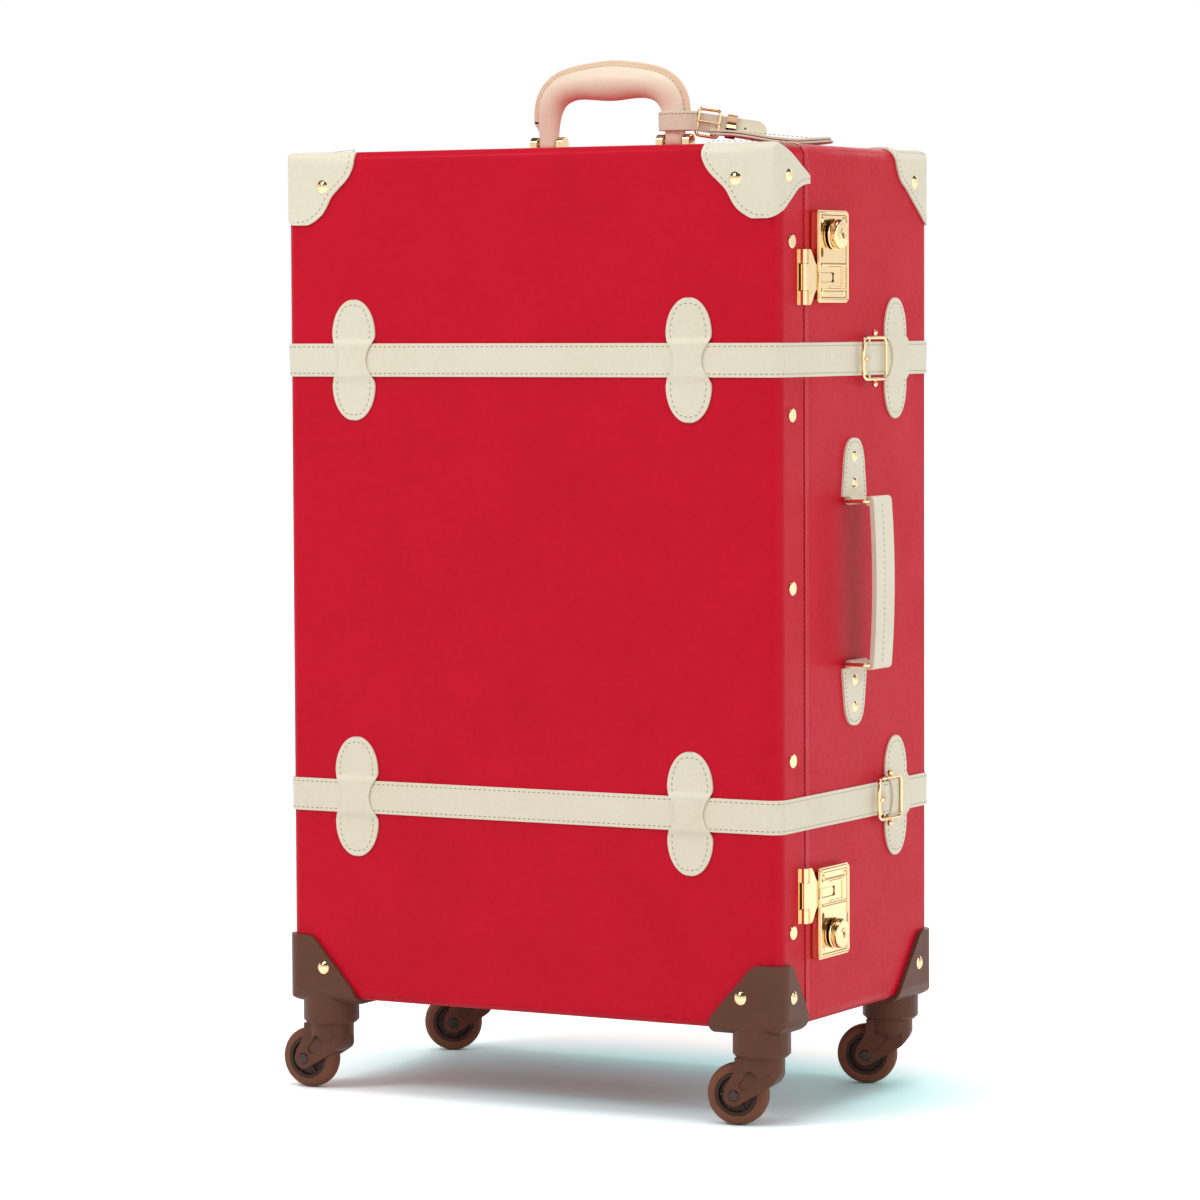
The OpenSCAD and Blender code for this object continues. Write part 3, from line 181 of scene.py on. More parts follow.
def cloth(name, colour, shade, thread):
    """Plain weave: two crossed waves of threads."""
    made, tree, shader = blank(name, Roughness=0.85, Sheen_Weight=0.2)
    at = add(tree, "ShaderNodeTexCoord").outputs["Object"]
    threads = [add(tree, "ShaderNodeTexWave", {"Vector": at, "Scale": 0.3 / thread, "Distortion": 0.3},
                   bands_direction=direction).outputs[1] for direction in ("X", "Z")]
    over = combined(tree, *threads, operation="MULTIPLY")
    tree.links.new(dyed(tree, over, shade, colour), shader.inputs["Base Color"])
    relief(tree, shader, over, 0.5, 0.1 * MM)
    return made


# Name, main colour and shade as screen colours, then the rest as each maker says
RED_LEATHER = leather("red_leather", (203, 8, 40), (192, 5, 34), 0.9 * MM, 0.03 * MM, 0.42, 0.14)
RED_BINDING = leather("red_binding", (207, 12, 44), (196, 8, 38), 0.7 * MM, 0.03 * MM, 0.36, 0.2)
SMOOTH = (0.5 * MM, 0.015 * MM)  # grain and depth of the pale leathers
CREAM_LEATHER = leather("cream_leather", (231, 225, 204), (225, 217, 193), *SMOOTH, 0.42)
PEACH_LEATHER = leather("peach_leather", (242, 226, 204), (238, 218, 194), *SMOOTH, 0.36)
EDGE_LEATHER = leather("edge_leather", (240, 214, 186), (232, 204, 174), *SMOOTH, 0.4)
# The cream thread is darker than the cream leather: partly its own colour, partly painted shade of the
# stitch holes
HOLE_SHADED_THREAD = plastic("cream_thread_painted_hole_shade", (168, 154, 124), (146, 132, 104), 0.7)
RED_THREAD = plastic("red_thread", (112, 6, 24), (88, 4, 18), 0.7)
GOLD = metal("gold_plate", (240, 212, 165), 0.12)
# Dark gold: painted shade lines beside the raised lines on the locks, and the almond mark on them
SHADE_AND_ALMOND_GOLD = metal("painted_shade_and_almond_gold", (120, 84, 42), 0.3)
ROSE_GOLD = metal("rose_gold_plate", (226, 180, 146), 0.18)
BROWN_PLASTIC = plastic("brown_plastic", (100, 62, 46), (92, 56, 41), 0.38, gloss=0.2)
BROWN_TYRE = plastic("brown_tyre", (126, 82, 63), (114, 74, 56), 0.55, 0.05, 0.15)
DARK_BROWN = plastic("dark_brown_plastic", (62, 40, 31), (52, 33, 26), 0.4, gloss=0.25)
DARK_STEEL = metal("dark_steel", (66, 58, 54), 0.16)
SILVER = metal("satin_aluminium", (205, 206, 208), 0.3)
LINING = cloth("lining_cloth", (226, 216, 192), (196, 184, 158), 0.7 * MM)
BLACK_PLASTIC = plastic("black_plastic", (34, 33, 34), (26, 25, 26), 0.45, 0.05)
GREY_PLASTIC = plastic("grey_plastic", (150, 150, 152), (140, 140, 142), 0.35)


def move(x, y, z=0.0):
    """A shift as a matrix."""
    return Matrix.Translation((x, y, z))


def spun(degrees, axis):
    """A turn about an axis as a matrix."""
    return Matrix.Rotation(math.radians(degrees), 4, axis)


def axes(point, x, y, z):
    """A frame at a point with the given axes, as a matrix."""
    made = Matrix((x, y, z)).transposed().to_4x4()
    made.translation = point
    return made


def placed(mesh_data, matrix):
    """Moves a whole bmesh by a matrix."""
    bmesh.ops.transform(mesh_data, matrix=matrix, verts=mesh_data.verts)
    return mesh_data


def face_outwards(mesh_data):
    """Turns every face of a closed shape outwards."""
    bmesh.ops.recalc_face_normals(mesh_data, faces=mesh_data.faces)


def points_of(geometry):
    """The points among the results of an operator."""
    return [g for g in geometry if isinstance(g, bmesh.types.BMVert)]


def in_scene(name, data):
    """A new object in the scene for a mesh, a lamp or a camera."""
    made = bpy.data.objects.new(name, data)
    bpy.context.scene.collection.objects.link(made)
    return made


def piece(name, mesh_data, surface, body, node=None, corner=32):
    """Closes a bmesh into a piece that rides on a body, with soft shading between its sharp edges."""
    for face in mesh_data.faces:
        face.smooth = True
    for edge in mesh_data.edges:
        if len(edge.link_faces) == 2:
            edge.smooth = edge.calc_face_angle() < math.radians(corner)
    mesh = bpy.data.meshes.new(name)
    mesh_data.to_mesh(mesh)
    mesh_data.free()
    mesh.materials.append(surface)
    made = in_scene(name, mesh)
    made.modifiers.new("even_shading", "WEIGHTED_NORMAL").keep_sharp = True
    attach(made, body)
    if node:
        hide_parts(*([node] if isinstance(node, str) else node))
    return made


def body_of_node(node):
    """The body that a CAD node belongs to."""
    bodies = frame["record"]["behaviour"]["bodies"]
    return next(body for body, nodes in bodies.items() if node in nodes)


def merged(node):
    """The shape of a CAD node as one closed mesh with whole flat faces."""
    made = bmesh.new()
    made.from_mesh(frame["nodes"][node].data)
    bmesh.ops.remove_doubles(made, verts=made.verts, dist=0.002 * MM)
    bmesh.ops.dissolve_limit(made, angle_limit=math.radians(1), verts=made.verts, edges=made.edges)
    return made


def rounded(mesh_data, geometry, width, segments=2, affect="EDGES", clamp=False):
    """Rounds the given edges or points."""
    bmesh.ops.bevel(mesh_data, geom=geometry, offset=width, affect=affect, segments=segments,
                    profile=0.5, material=-1, clamp_overlap=clamp)


def ease(mesh_data, width, corner=35, segments=2):
    """Rounds every edge that turns by more than the given angle."""
    sharp = [e for e in mesh_data.edges
             if len(e.link_faces) == 2 and e.calc_face_angle() > math.radians(corner)]
    rounded(mesh_data, sharp, width, segments, clamp=True)


def eased_copy(node, surface, width, corner=35, segments=2):
    """A CAD node's shape with its sharp edges rounded, standing for the node."""
    made = merged(node)
    if width:
        ease(made, width, corner, segments)
    return piece(node + "_dressed", made, surface, body_of_node(node), node)


def copies(name, template, places, surface, body):
    """One mesh of many small copies of a shape, one for each placing matrix."""
    shape = bpy.data.meshes.new(name + "_shape")
    template.to_mesh(shape)
    template.free()
    whole = bmesh.new()
    for place in places:
        shape.transform(place)
        whole.from_mesh(shape)
        shape.transform(place.inverted())
    bpy.data.meshes.remove(shape)
    return piece(name, whole, surface, body, corner=80)


def frame_at(point, along, out):
    """A frame at a point: X along a line, Z out of the surface."""
    x = Vector(along).normalized()
    z = Vector(out).normalized()
    return axes(point, x, z.cross(x), z)


STITCH_L = 2.7 * MM
STITCH_W = 0.75 * MM
STITCH_RISE = 0.3 * MM


def block(matrix):
    """A cube with sides of one, placed by a matrix."""
    made = bmesh.new()
    bmesh.ops.create_cube(made, size=1)
    return placed(made, matrix)


def ball(sides, rings, matrix):
    """A sphere with a radius of one, placed by a matrix."""
    made = bmesh.new()
    bmesh.ops.create_uvsphere(made, u_segments=sides, v_segments=rings, radius=1)
    return placed(made, matrix)


def thread_shape(length, width, rise):
    """One stitch: a thin rounded grain along X."""
    return ball(6, 4, Matrix.Diagonal((length / 2, width / 2, rise, 1)) @ spun(90, "Y"))


def on(place, point, out):
    """A point and its outward direction, given in a frame."""
    return place @ Vector(point), place.to_3x3() @ Vector(out)


def stitches(name, lines, body, surface=None, pitch=STITCH_PITCH):
    """Rows of thread. Each line is a list of (point, outward direction) pairs."""
    places = []
    for line in lines:
        lengths = [(b[0] - a[0]).length for a, b in zip(line, line[1:])]
        total = sum(lengths)
        count = max(int(total / pitch), 1)
        for k in range(count):
            at = (k + 0.5) * total / count
            for (p, n), (q, m), step in zip(line, line[1:], lengths):
                if at <= step:
                    break
                at -= step
            share = at / step if step else 0
            out = n.lerp(m, share)
            places.append(frame_at(p.lerp(q, share), q - p, out))
    thread = thread_shape(STITCH_L, STITCH_W, STITCH_RISE)
    return copies(name, thread, places, surface or HOLE_SHADED_THREAD, body)


def arc_points(centre, radius, start, end, z, count=8):
    """Points and outward directions along a level arc, angles in degrees."""
    made = []
    for k in range(count + 1):
        a = math.radians(start + (end - start) * k / count)
        out = Vector((math.cos(a), math.sin(a), 0))
        made.append((Vector((centre[0], centre[1], z)) + out * radius, out))
    return made


def flat_section(thick, wide, rounding, segments=3):
    """A flat section in the XY plane with rounded corners: X its thickness, Y its width."""
    made = bmesh.new()
    bmesh.ops.create_grid(made, x_segments=1, y_segments=1, size=0.5)
    placed(made, Matrix.Diagonal((thick, wide, 1, 1)))
    rounded(made, made.verts[:], rounding, segments, "VERTICES")
    return made, next(iter(made.faces))


def strap_section(offset, z, y):
    """The cut face of a strap on the right wall: eased corners, standing across the Y axis."""
    made, face = flat_section(STRAP_T, STRAP_W, STRAP_T * 0.4, 2)
    placed(made, move(RIGHT + offset + STRAP_T / 2, y, z) @ spun(90, "X"))
    return made, face


def pull(mesh_data, face, matrix):
    """Extrudes one face, moves the new end by a matrix and gives it back."""
    grown = bmesh.ops.extrude_face_region(mesh_data, geom=[face])["geom"]
    end = [g for g in grown if isinstance(g, bmesh.types.BMFace)][0]
    bmesh.ops.transform(mesh_data, matrix=matrix, verts=end.verts)
    return end


def turn_about(x, y, degrees):
    """A turn about a vertical line as a matrix."""
    return move(x, y) @ spun(degrees, "Z") @ move(-x, -y)


def corner(mesh_data, face, x, y, degrees, steps=6):
    """Takes the end of a strip round a vertical corner."""
    for _ in range(steps):
        face = pull(mesh_data, face, turn_about(x, y, degrees / steps))
    return face


def edge_lines(path, z):
    """The two stitch lines of a strap along a path of (point, out) pairs at height zero."""
    rise = STRAP_W / 2 - STITCH_IN
    return [[(p + Vector((0, 0, z + s * rise)), out) for p, out in path] for s in (-1, 1)]


TAIL_OFF = 2.1 * MM
OVER_BAR = 3.5 * MM
FLAT_BEHIND = 10 * MM         # behind the buckle's bar the tail lies flat from here
CREST_BEHIND = 4 * MM         # and is highest here
FALL = (4 * MM, 13 * MM)      # in front of the bar it comes down to the wall between these
BUCKLE_YS = (SEAM + 100.5 * MM, SEAM + 127.5 * MM)
SIDE_LOOP_Y = SEAM + 149.5 * MM
LOOP_W = 39 * MM
TAIL_END = SIDE_LOOP_Y + 21 * MM
BEND_FRONT = SEAM - 7 * MM
BEND_BACK = SEAM + 12 * MM
HINGE_OUT = 3.6 * MM


def ease_step(share):
    """A soft step from 0 to 1."""
    return (1 - math.cos(math.pi * min(max(share, 0), 1))) / 2


def round_case(strip, end, start, face, quarter, stop):
    """Takes a strap from the right wall round the front or back face to where it bends at the hinges."""
    turn_y = face - math.copysign(EDGE_R, quarter)
    end = pull(strip, end, move(0, turn_y - start))
    end = corner(strip, end, RIGHT - EDGE_R, turn_y, quarter)
    end = pull(strip, end, move(LEFT - RIGHT + 2 * EDGE_R, 0))
    end = corner(strip, end, LEFT + EDGE_R, turn_y, quarter)
    pull(strip, end, move(0, stop - turn_y))
    face_outwards(strip)


def round_case_line(face, quarter, stop):
    """The same way round as points and outward directions on the strap's outside, at height zero."""
    turn_y = face - math.copysign(EDGE_R, quarter)
    off = SEAT + STRAP_T
    line = arc_points((RIGHT - EDGE_R, turn_y), EDGE_R + off, 0, quarter, 0)
    line += arc_points((LEFT + EDGE_R, turn_y), EDGE_R + off, quarter, 2 * quarter, 0)
    return line + [(Vector((LEFT - off, stop, 0)), -X_OUT)]


def strap_tail_path(y_bar):
    """Offsets from the wall and places along it, from a strap's tip over the buckle's bar to the wall."""
    flat = min(y_bar + FLAT_BEHIND, SIDE_LOOP_Y - 0.45 * LOOP_W - 0.5 * MM)
    crest = y_bar + min(CREST_BEHIND, 0.4 * (flat - y_bar))
    shares = [k / 4 for k in range(5)]
    falls = [(flat + (crest - flat) * t, TAIL_OFF + (OVER_BAR - TAIL_OFF) * ease_step(t)) for t in shares]
    shares = [k / 6 for k in range(7)]
    rises = [(y_bar - FALL[0] - (FALL[1] - FALL[0]) * t, OVER_BAR + (SEAT - OVER_BAR) * ease_step(t))
             for t in shares]
    return falls + rises


def lid_strap(i):
    """The strap over the lid: from its tip on the right side, round the front, to the hinge side."""
    z = STRAP_ZS[i]
    strip, end = strap_section(TAIL_OFF, z, TAIL_END)
    at = (TAIL_END, TAIL_OFF)
    for y, off in strap_tail_path(BUCKLE_YS[i]):
        end = pull(strip, end, move(off - at[1], y - at[0]))
        at = (y, off)
    round_case(strip, end, at[0], FRONT, -90, BEND_FRONT)
    nodes = ["lid_straps", "strap_tails"] if i == 0 else None
    piece("lid_strap_" + PAIR[i], strip, CREAM_LEATHER, "lid", nodes)
    path = [(Vector((RIGHT + off + STRAP_T, y, 0)), X_OUT)
            for y, off in [(TAIL_END - 3 * MM, TAIL_OFF)] + strap_tail_path(BUCKLE_YS[i])]
    return edge_lines(path + round_case_line(FRONT, -90, BEND_FRONT), z)


def base_strap(i):
    """The strap over the base: from the buckle's centre bar, round the back, to the hinge side."""
    z = STRAP_ZS[i]
    start = BUCKLE_YS[i] + 1.5 * MM
    strip, end = strap_section(SEAT, z, start)
    round_case(strip, end, start, BACK, 90, BEND_BACK)
    nodes = "base_straps" if i == 0 else None
    piece("base_strap_" + PAIR[i], strip, CREAM_LEATHER, "base", nodes)
    path = [(Vector((RIGHT + SEAT + STRAP_T, SIDE_LOOP_Y + 24 * MM, 0)), X_OUT)]
    return edge_lines(path + round_case_line(BACK, 90, BEND_BACK), z)


def strap_bend(i):
    """The short stretch of strap that bows over the hinge line."""
    z = STRAP_ZS[i]
    level = HINGE_OUT - STRAP_T / 2 - SEAT
    strip, end = strap_section(0, z, BEND_BACK)
    bmesh.ops.translate(strip, verts=strip.verts, vec=(LEFT - RIGHT - SEAT - STRAP_T, 0, 0))
    steps = 12
    for k in range(steps):
        rise = [level * (1 - math.cos(2 * math.pi * j / steps)) / 2 for j in (k, k + 1)]
        end = pull(strip, end, move(rise[0] - rise[1], (BEND_FRONT - BEND_BACK) / steps))
    face_outwards(strip)
    made = piece("strap_bend_" + PAIR[i], strip, CREAM_LEATHER, "base",
                 "strap_bends" if i == 0 else None)
    made.parent = None
    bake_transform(made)


stitches("lid_strap_stitches", [row for i in (0, 1) for row in lid_strap(i)], "lid")
stitches("base_strap_stitches", [row for i in (0, 1) for row in base_strap(i)], "base")
for index in (0, 1):
    strap_bend(index)


# Strap loops: two tongue-shaped lobes joined by a waist that bows over the strap
LOOP_H = 95 * MM
LOOP_T = 1.5 * MM
LOOP_STITCH_IN = 4.2 * MM
WAIST_HALF = 12 * MM
NECK_HALF = 17.3 * MM  # where the waist leaves the strap's edge
SHOULDER = 20 * MM


def loop_half_width(v):
    """Half the width of a strap loop at a height from its middle."""
    v = abs(v)
    if v > SHOULDER:
        share = (v - SHOULDER) / (LOOP_H / 2 - SHOULDER)
        return LOOP_W / 2 * math.sqrt(max(1 - share * share, 0))
    if v > STRAP_W / 2:
        share = (v - STRAP_W / 2) / (SHOULDER - STRAP_W / 2)
        return NECK_HALF + (LOOP_W / 2 - NECK_HALF) * math.sin(share * math.pi / 2)
    return WAIST_HALF + (NECK_HALF - WAIST_HALF) * (v / (STRAP_W / 2)) ** 2


def loop_rise(v, arch):
    """How far a strap loop stands off the wall at a height from its middle."""
    share = (abs(v) - STRAP_W / 2 + 1 * MM) / (6 * MM)
    return arch + (SEAT - arch) * ease_step(share)


def loop_heights():
    """Heights at which a loop's outline has its points, closest near its tips."""
    tip = LOOP_H / 2
    flat = [SHOULDER * (k / 14) for k in range(15)]
    round_end = [SHOULDER + (tip - SHOULDER) * math.sin(math.pi / 2 * k / 14) for k in range(1, 15)]
    side = flat + round_end
    return [-v for v in reversed(side[1:])] + side


def strap_loop(wall, arch):
    """A loop in a wall's frame (X along the strap, Y up, Z out), placed by a matrix."""
    made = bmesh.new()
    rows = []
    for v in loop_heights():
        half = max(loop_half_width(v), 0.4 * MM)
        rise = loop_rise(v, arch)
        rows.append([made.verts.new((s * half, v, rise)) for s in (-1, 1)])
    for low, high in zip(rows, rows[1:]):
        made.faces.new((low[0], low[1], high[1], high[0]))
    bmesh.ops.subdivide_edges(made, edges=[e for e in made.edges if len(e.link_faces) == 2], cuts=3)
    face_outwards(made)
    if next(iter(made.faces)).normal.z < 0:
        bmesh.ops.reverse_faces(made, faces=made.faces)
    shell = bmesh.ops.extrude_face_region(made, geom=made.faces[:])["geom"]
    bmesh.ops.translate(made, verts=points_of(shell), vec=(0, 0, LOOP_T))
    face_outwards(made)
    rim = [e for e in made.edges if len(e.link_faces) == 2 and e.calc_face_angle() > math.radians(50)
           and max(v.co.z for v in e.verts) > loop_rise(e.verts[0].co.y, arch) + LOOP_T * 0.7]
    rounded(made, rim, 0.5 * MM)
    return placed(made, wall)


def loop_stitches(wall, arch):
    """The stitch rows round the two lobes of a loop."""
    rows = []
    tip = LOOP_H / 2 - LOOP_STITCH_IN
    heights = [v for v in loop_heights() if STRAP_W / 2 + 2 * MM < v < tip - 1 * MM]
    side = [(loop_half_width(v) - LOOP_STITCH_IN, v) for v in heights]
    side = [(u, v) for u, v in side if u > 0]
    ring = side + [(0, tip)] + [(-u, v) for u, v in reversed(side)]
    for s in (-1, 1):
        rows.append([on(wall, (u, s * v, loop_rise(v, arch) + LOOP_T), Z_OUT) for u, v in ring])
    return rows


def join(parts):
    """Puts several bmeshes into one."""
    whole = bmesh.new()
    for part in parts:
        mesh = bpy.data.meshes.new("part")
        part.to_mesh(mesh)
        part.free()
        whole.from_mesh(mesh)
        bpy.data.meshes.remove(mesh)
    return whole


FRONT_ARCH = 2.2 * MM
SIDE_ARCH = 3.9 * MM
LOOP_XS = (LEFT + 63 * MM, RIGHT - 75.5 * MM)


def strap_loops():
    """All the loops: two a strap on the front and back, one a strap on the right side."""
    front_frames = [frame_at(Vector((x, FRONT, z)), X_OUT, -Y_OUT) for z in STRAP_ZS for x in LOOP_XS]
    back_frames = [frame_at(Vector((s * (RIGHT - 75 * MM), BACK, z)), -X_OUT, Y_OUT)
                   for z in STRAP_ZS for s in (-1, 1)]
    side_frames = [frame_at(Vector((RIGHT, SIDE_LOOP_Y, z)), Y_OUT, X_OUT) for z in STRAP_ZS]
    lid = join([strap_loop(w, FRONT_ARCH) for w in front_frames])
    piece("lid_loops", lid, CREAM_LEATHER, "lid", "lid_strap_loops")
    base = [strap_loop(w, FRONT_ARCH) for w in back_frames] + [strap_loop(w, SIDE_ARCH) for w in side_frames]
    piece("base_loops", join(base), CREAM_LEATHER, "base", "base_strap_loops")
    stitches("lid_loop_stitches", [r for w in front_frames for r in loop_stitches(w, FRONT_ARCH)], "lid")
    rows = [r for w in back_frames for r in loop_stitches(w, FRONT_ARCH)]
    rows += [r for w in side_frames for r in loop_stitches(w, SIDE_ARCH)]
    stitches("base_loop_stitches", rows, "base")


strap_loops()


def through(p, steps=5):
    """A smooth outline through the given points, each a pair."""
    made = []
    for i in range(len(p) - 1):
        a, b, c, d = (Vector(p[k]) for k in (max(i - 1, 0), i, i + 1, min(i + 2, len(p) - 1)))
        for k in range(steps):
            t = k / steps
            made.append(b + t * (c - a) / 2 + t * t * (2 * a - 5 * b + 4 * c - d) / 2
                        + t ** 3 * (3 * b - a - 3 * c + d) / 2)
    return made + [Vector(p[-1])]


def inset(points, depth):
    """An open outline moved to its left by a depth."""
    made = []
    for i, p in enumerate(points):
        along = (points[min(i + 1, len(points) - 1)] - points[max(i - 1, 0)]).normalized()
        made.append(p + Vector((-along.y, along.x)) * depth)
    return made


CENTRE = Vector(((LEFT + RIGHT) / 2, (FRONT + BACK) / 2, MIDDLE))
CORE = Vector(((RIGHT - LEFT) / 2, (BACK - FRONT) / 2, (TOP - BOTTOM) / 2)) - Vector((EDGE_R,) * 3)


def on_case(point, axis, side, off):
    """The point of the rounded case straight above a point on one face, and its outward direction."""
    out = Vector((0, 0, 0))
    for k in range(3):
        if k != axis:
            from_middle = point[k] - CENTRE[k]
            out[k] = math.copysign(max(abs(from_middle) - CORE[k], 0), from_middle)
    radius = EDGE_R + off
    out[axis] = side * math.sqrt(max(radius ** 2 - out.length_squared, 0))
    made = Vector(point)
    made[axis] = CENTRE[axis] + side * CORE[axis] + out[axis]
    return made, out.normalized()


# Corner caps and guards: outlines from the corner, as shares of reach and drop, as on the caps' solids
CAP_LEN = 64 * MM
CAP_DROP = 58.5 * MM
CAP_OFF = 1.9 * MM
CAP_STITCH_IN = 4 * MM
CAP_FACE = ((0.975, -0.04), (1, 0.13), (0.965, 0.26), (0.89, 0.38), (0.765, 0.505), (0.672, 0.61),
            (0.598, 0.75), (0.514, 0.86), (0.367, 0.96), (0.22, 1), (-0.1, 1))
CAP_LID_SIDE = ((1, 0.52), (0.8, 0.535), (0.59, 0.59), (0.38, 0.715), (0.17, 0.84), (0, 0.95), (-0.1, 1.02))
CAP_BASE_SIDE = ((1, 0.02), (0.975, 0.15), (0.93, 0.27), (0.84, 0.415), (0.665, 0.54),
                 (0.49, 0.685), (0.31, 0.83), (0.155, 0.96), (0, 1.03))
CAP_TOP = ((1, 0), (1, 0.15), (0.93, 0.3), (0.78, 0.46), (0.62, 0.6), (0.46, 0.78), (0.3, 0.93),
           (0.15, 1), (0, 1))
LID_REACH = SEAM - FRONT + 1 * MM
CAP_CLEAR = 1.5 * MM   # no stitch is nearer than this to the lines that end a cap's faces
WHIP_PITCH = 3.3 * MM
WHIP_FROM = 6 * MM     # from the corner to the first slanted stitch
WHIP_SLANT = 0.35


def clear(points):
    """The points of an outline that a cap's stitches may take."""
    return [(u, v) for u, v in points if v > CAP_CLEAR and u > CAP_CLEAR]


def cap_rows(across, deep):
    """Stitch rows along the edges of one cap. Across is the side, deep the front or back, each -1 or 1."""
    side_x = CENTRE.x + across * (RIGHT - LEFT) / 2
    side_y = CENTRE.y + deep * (BACK - FRONT) / 2
    reach = LID_REACH if deep < 0 else CAP_LEN
    rows = []
    face = inset(through([(u * CAP_LEN, v * CAP_DROP) for u, v in CAP_FACE]), CAP_STITCH_IN)
    rows.append([on_case(Vector((side_x - across * u, 0, TOP - v)), 1, deep, CAP_OFF)
                 for u, v in clear(face)])
    shape = CAP_LID_SIDE if deep < 0 else CAP_BASE_SIDE
    side = inset(through([(u * reach, v * CAP_DROP) for u, v in shape]), CAP_STITCH_IN)
    limit = reach - 3.5 * MM if deep < 0 else reach
    side = [p for p in side if p.x < limit]
    if deep < 0:
        side = [Vector((limit, 3 * MM)), Vector((limit, side[0].y - 2 * MM))] + side
    rows.append([on_case(Vector((0, side_y - deep * u, TOP - v)), 0, across, CAP_OFF)
                 for u, v in clear(side)])
    top = inset(through([(u * CAP_LEN, v * reach) for u, v in CAP_TOP]), CAP_STITCH_IN)
    rows.append([on_case(Vector((side_x - across * u, side_y - deep * v, 0)), 2, 1, CAP_OFF)
                 for u, v in clear(top)])
    return rows


def whip_places(across, deep):
    """Slanted stitches that close a cap along the top edge of the narrow side."""
    side_y = CENTRE.y + deep * (BACK - FRONT) / 2
    reach = (SEAM - FRONT - 4 * MM) if deep < 0 else CAP_LEN - 5 * MM
    made = []
    for k in range(int((reach - WHIP_FROM) / WHIP_PITCH)):
        y = side_y - deep * (WHIP_FROM + (k + 0.5) * WHIP_PITCH)
        out = Vector((across, 0, 1)).normalized()
        edge = Vector((CENTRE.x + across * CORE.x, y, CENTRE.z + CORE.z))
        point = edge + out * (EDGE_R + CAP_OFF - 0.2 * MM)
        along = Vector((across, WHIP_SLANT * (-1) ** k, -1))
        made.append(frame_at(point, along, out))
    return made


for name, deep in (("lid", -1), ("base", 1)):
    eased_copy(name + "_corner_caps", CREAM_LEATHER, 0.5 * MM, corner=60)
    stitches(name + "_cap_stitches", [row for s in (-1, 1) for row in cap_rows(s, deep)], name)
    whips = [place for s in (-1, 1) for place in whip_places(s, deep)]
    whip = thread_shape(4.2 * MM, 0.8 * MM, 0.35 * MM)
    copies(name + "_cap_whip_stitches", whip, whips, HOLE_SHADED_THREAD, name)
    eased_copy(name + "_foot_guards", BROWN_PLASTIC, 1.0 * MM, corner=50, segments=3)


# The seam: a binding along the lid's edge and the stitch line that holds it
BINDING_W = 7 * MM


def perimeter(y, off):
    """Points and outward directions once round the case at a depth, as a closed line."""
    made = []
    for sx, sz, start in ((1, 1, 0), (-1, 1, 90), (-1, -1, 180), (1, -1, 270)):
        for k in range(7):
            a = math.radians(start + 15 * k)
            out = Vector((math.cos(a), 0, math.sin(a)))
            base = Vector((CENTRE.x + sx * CORE.x, y, CENTRE.z + sz * CORE.z))
            made.append((base + out * (EDGE_R + off), out))
    return made + [made[0]]


def swept(section, frames, closed=False):
    """Pulls a flat section through a row of frames. A closed row ends on its first frame."""
    made, face = section
    placed(made, frames[0])
    for before, after in zip(frames, frames[1:]):
        face = pull(made, face, after @ before.inverted())
    if closed:
        start = [f for f in made.faces if len(f.verts) == len(face.verts) and f is not face]
        start = min(start, key=lambda f: (f.calc_center_median() - face.calc_center_median()).length)
        bmesh.ops.delete(made, geom=[face, start], context="FACES_ONLY")
        bmesh.ops.remove_doubles(made, verts=made.verts, dist=0.005 * MM)
    face_outwards(made)
    return made


def around(points, up):
    """Frames along a row of points that lie in a plane: X outwards, Y the plane's normal, Z along."""
    up = Vector(up).normalized()
    made = []
    for i, point in enumerate(points):
        if points[0] == points[-1]:
            before, after = points[i - 1 if i else -2], points[(i + 1) if i + 1 < len(points) else 1]
        else:
            before, after = points[max(i - 1, 0)], points[min(i + 1, len(points) - 1)]
        along = (Vector(after) - Vector(before)).normalized()
        out = along.cross(up)
        made.append(axes(point, out, up, out.cross(up)))
    return made


def round_section(radius, segments=12):
    """A round section for a wire."""
    made = bmesh.new()
    bmesh.ops.create_circle(made, cap_ends=True, segments=segments, radius=radius)
    return made, next(iter(made.faces))


def wire(points, up, radius):
    """A round wire along points in a plane, closed where the last point is the first."""
    return swept(round_section(radius), around(points, up), closed=points[0] == points[-1])


def rod(at, points, radius, across=Z_OUT):
    """A round wire through points in millimetres of a frame. Across is the direction off its plane."""
    return wire([at @ (Vector(p) * MM) for p in points], at.to_3x3() @ across, radius * MM)


def rounded_path(wide, tall, radius, place, steps=5):
    """A closed rounded rectangle about the middle of a frame, as points placed by a matrix."""
    made = []
    for k, (sx, sy) in enumerate(((1, 1), (-1, 1), (-1, -1), (1, -1))):
        for j in range(steps + 1):
            a = math.radians(90 * k + 90 * j / steps)
            made.append(place @ Vector((sx * (wide / 2 - radius) + radius * math.cos(a),
                                        sy * (tall / 2 - radius) + radius * math.sin(a), 0)))
    return made + [made[0]]


def lathe(profile, place, steps=64):
    """Turns a profile of (radius, height) pairs in millimetres about Z and places it."""
    made = bmesh.new()
    points = [made.verts.new((max(r, 0.001) * MM, 0, h * MM)) for r, h in profile]
    lines = [made.edges.new(pair) for pair in zip(points, points[1:])]
    bmesh.ops.spin(made, geom=points + lines, cent=(0, 0, 0), axis=(0, 0, 1), angle=2 * math.pi,
                   steps=steps, use_merge=True, use_duplicate=False)
    bmesh.ops.remove_doubles(made, verts=made.verts, dist=0.001 * MM)
    face_outwards(made)
    return placed(made, place)


def flat_piece(outline, thick, soft):
    """A flat piece of an outline in the XY plane, from height zero up, with softened rims."""
    made = bmesh.new()
    made.faces.new([made.verts.new((x, y, 0)) for x, y in outline])
    grown = bmesh.ops.extrude_face_region(made, geom=made.faces[:])["geom"]
    bmesh.ops.translate(made, verts=points_of(grown), vec=(0, 0, thick))
    face_outwards(made)
    ease(made, soft, corner=50)
    return made


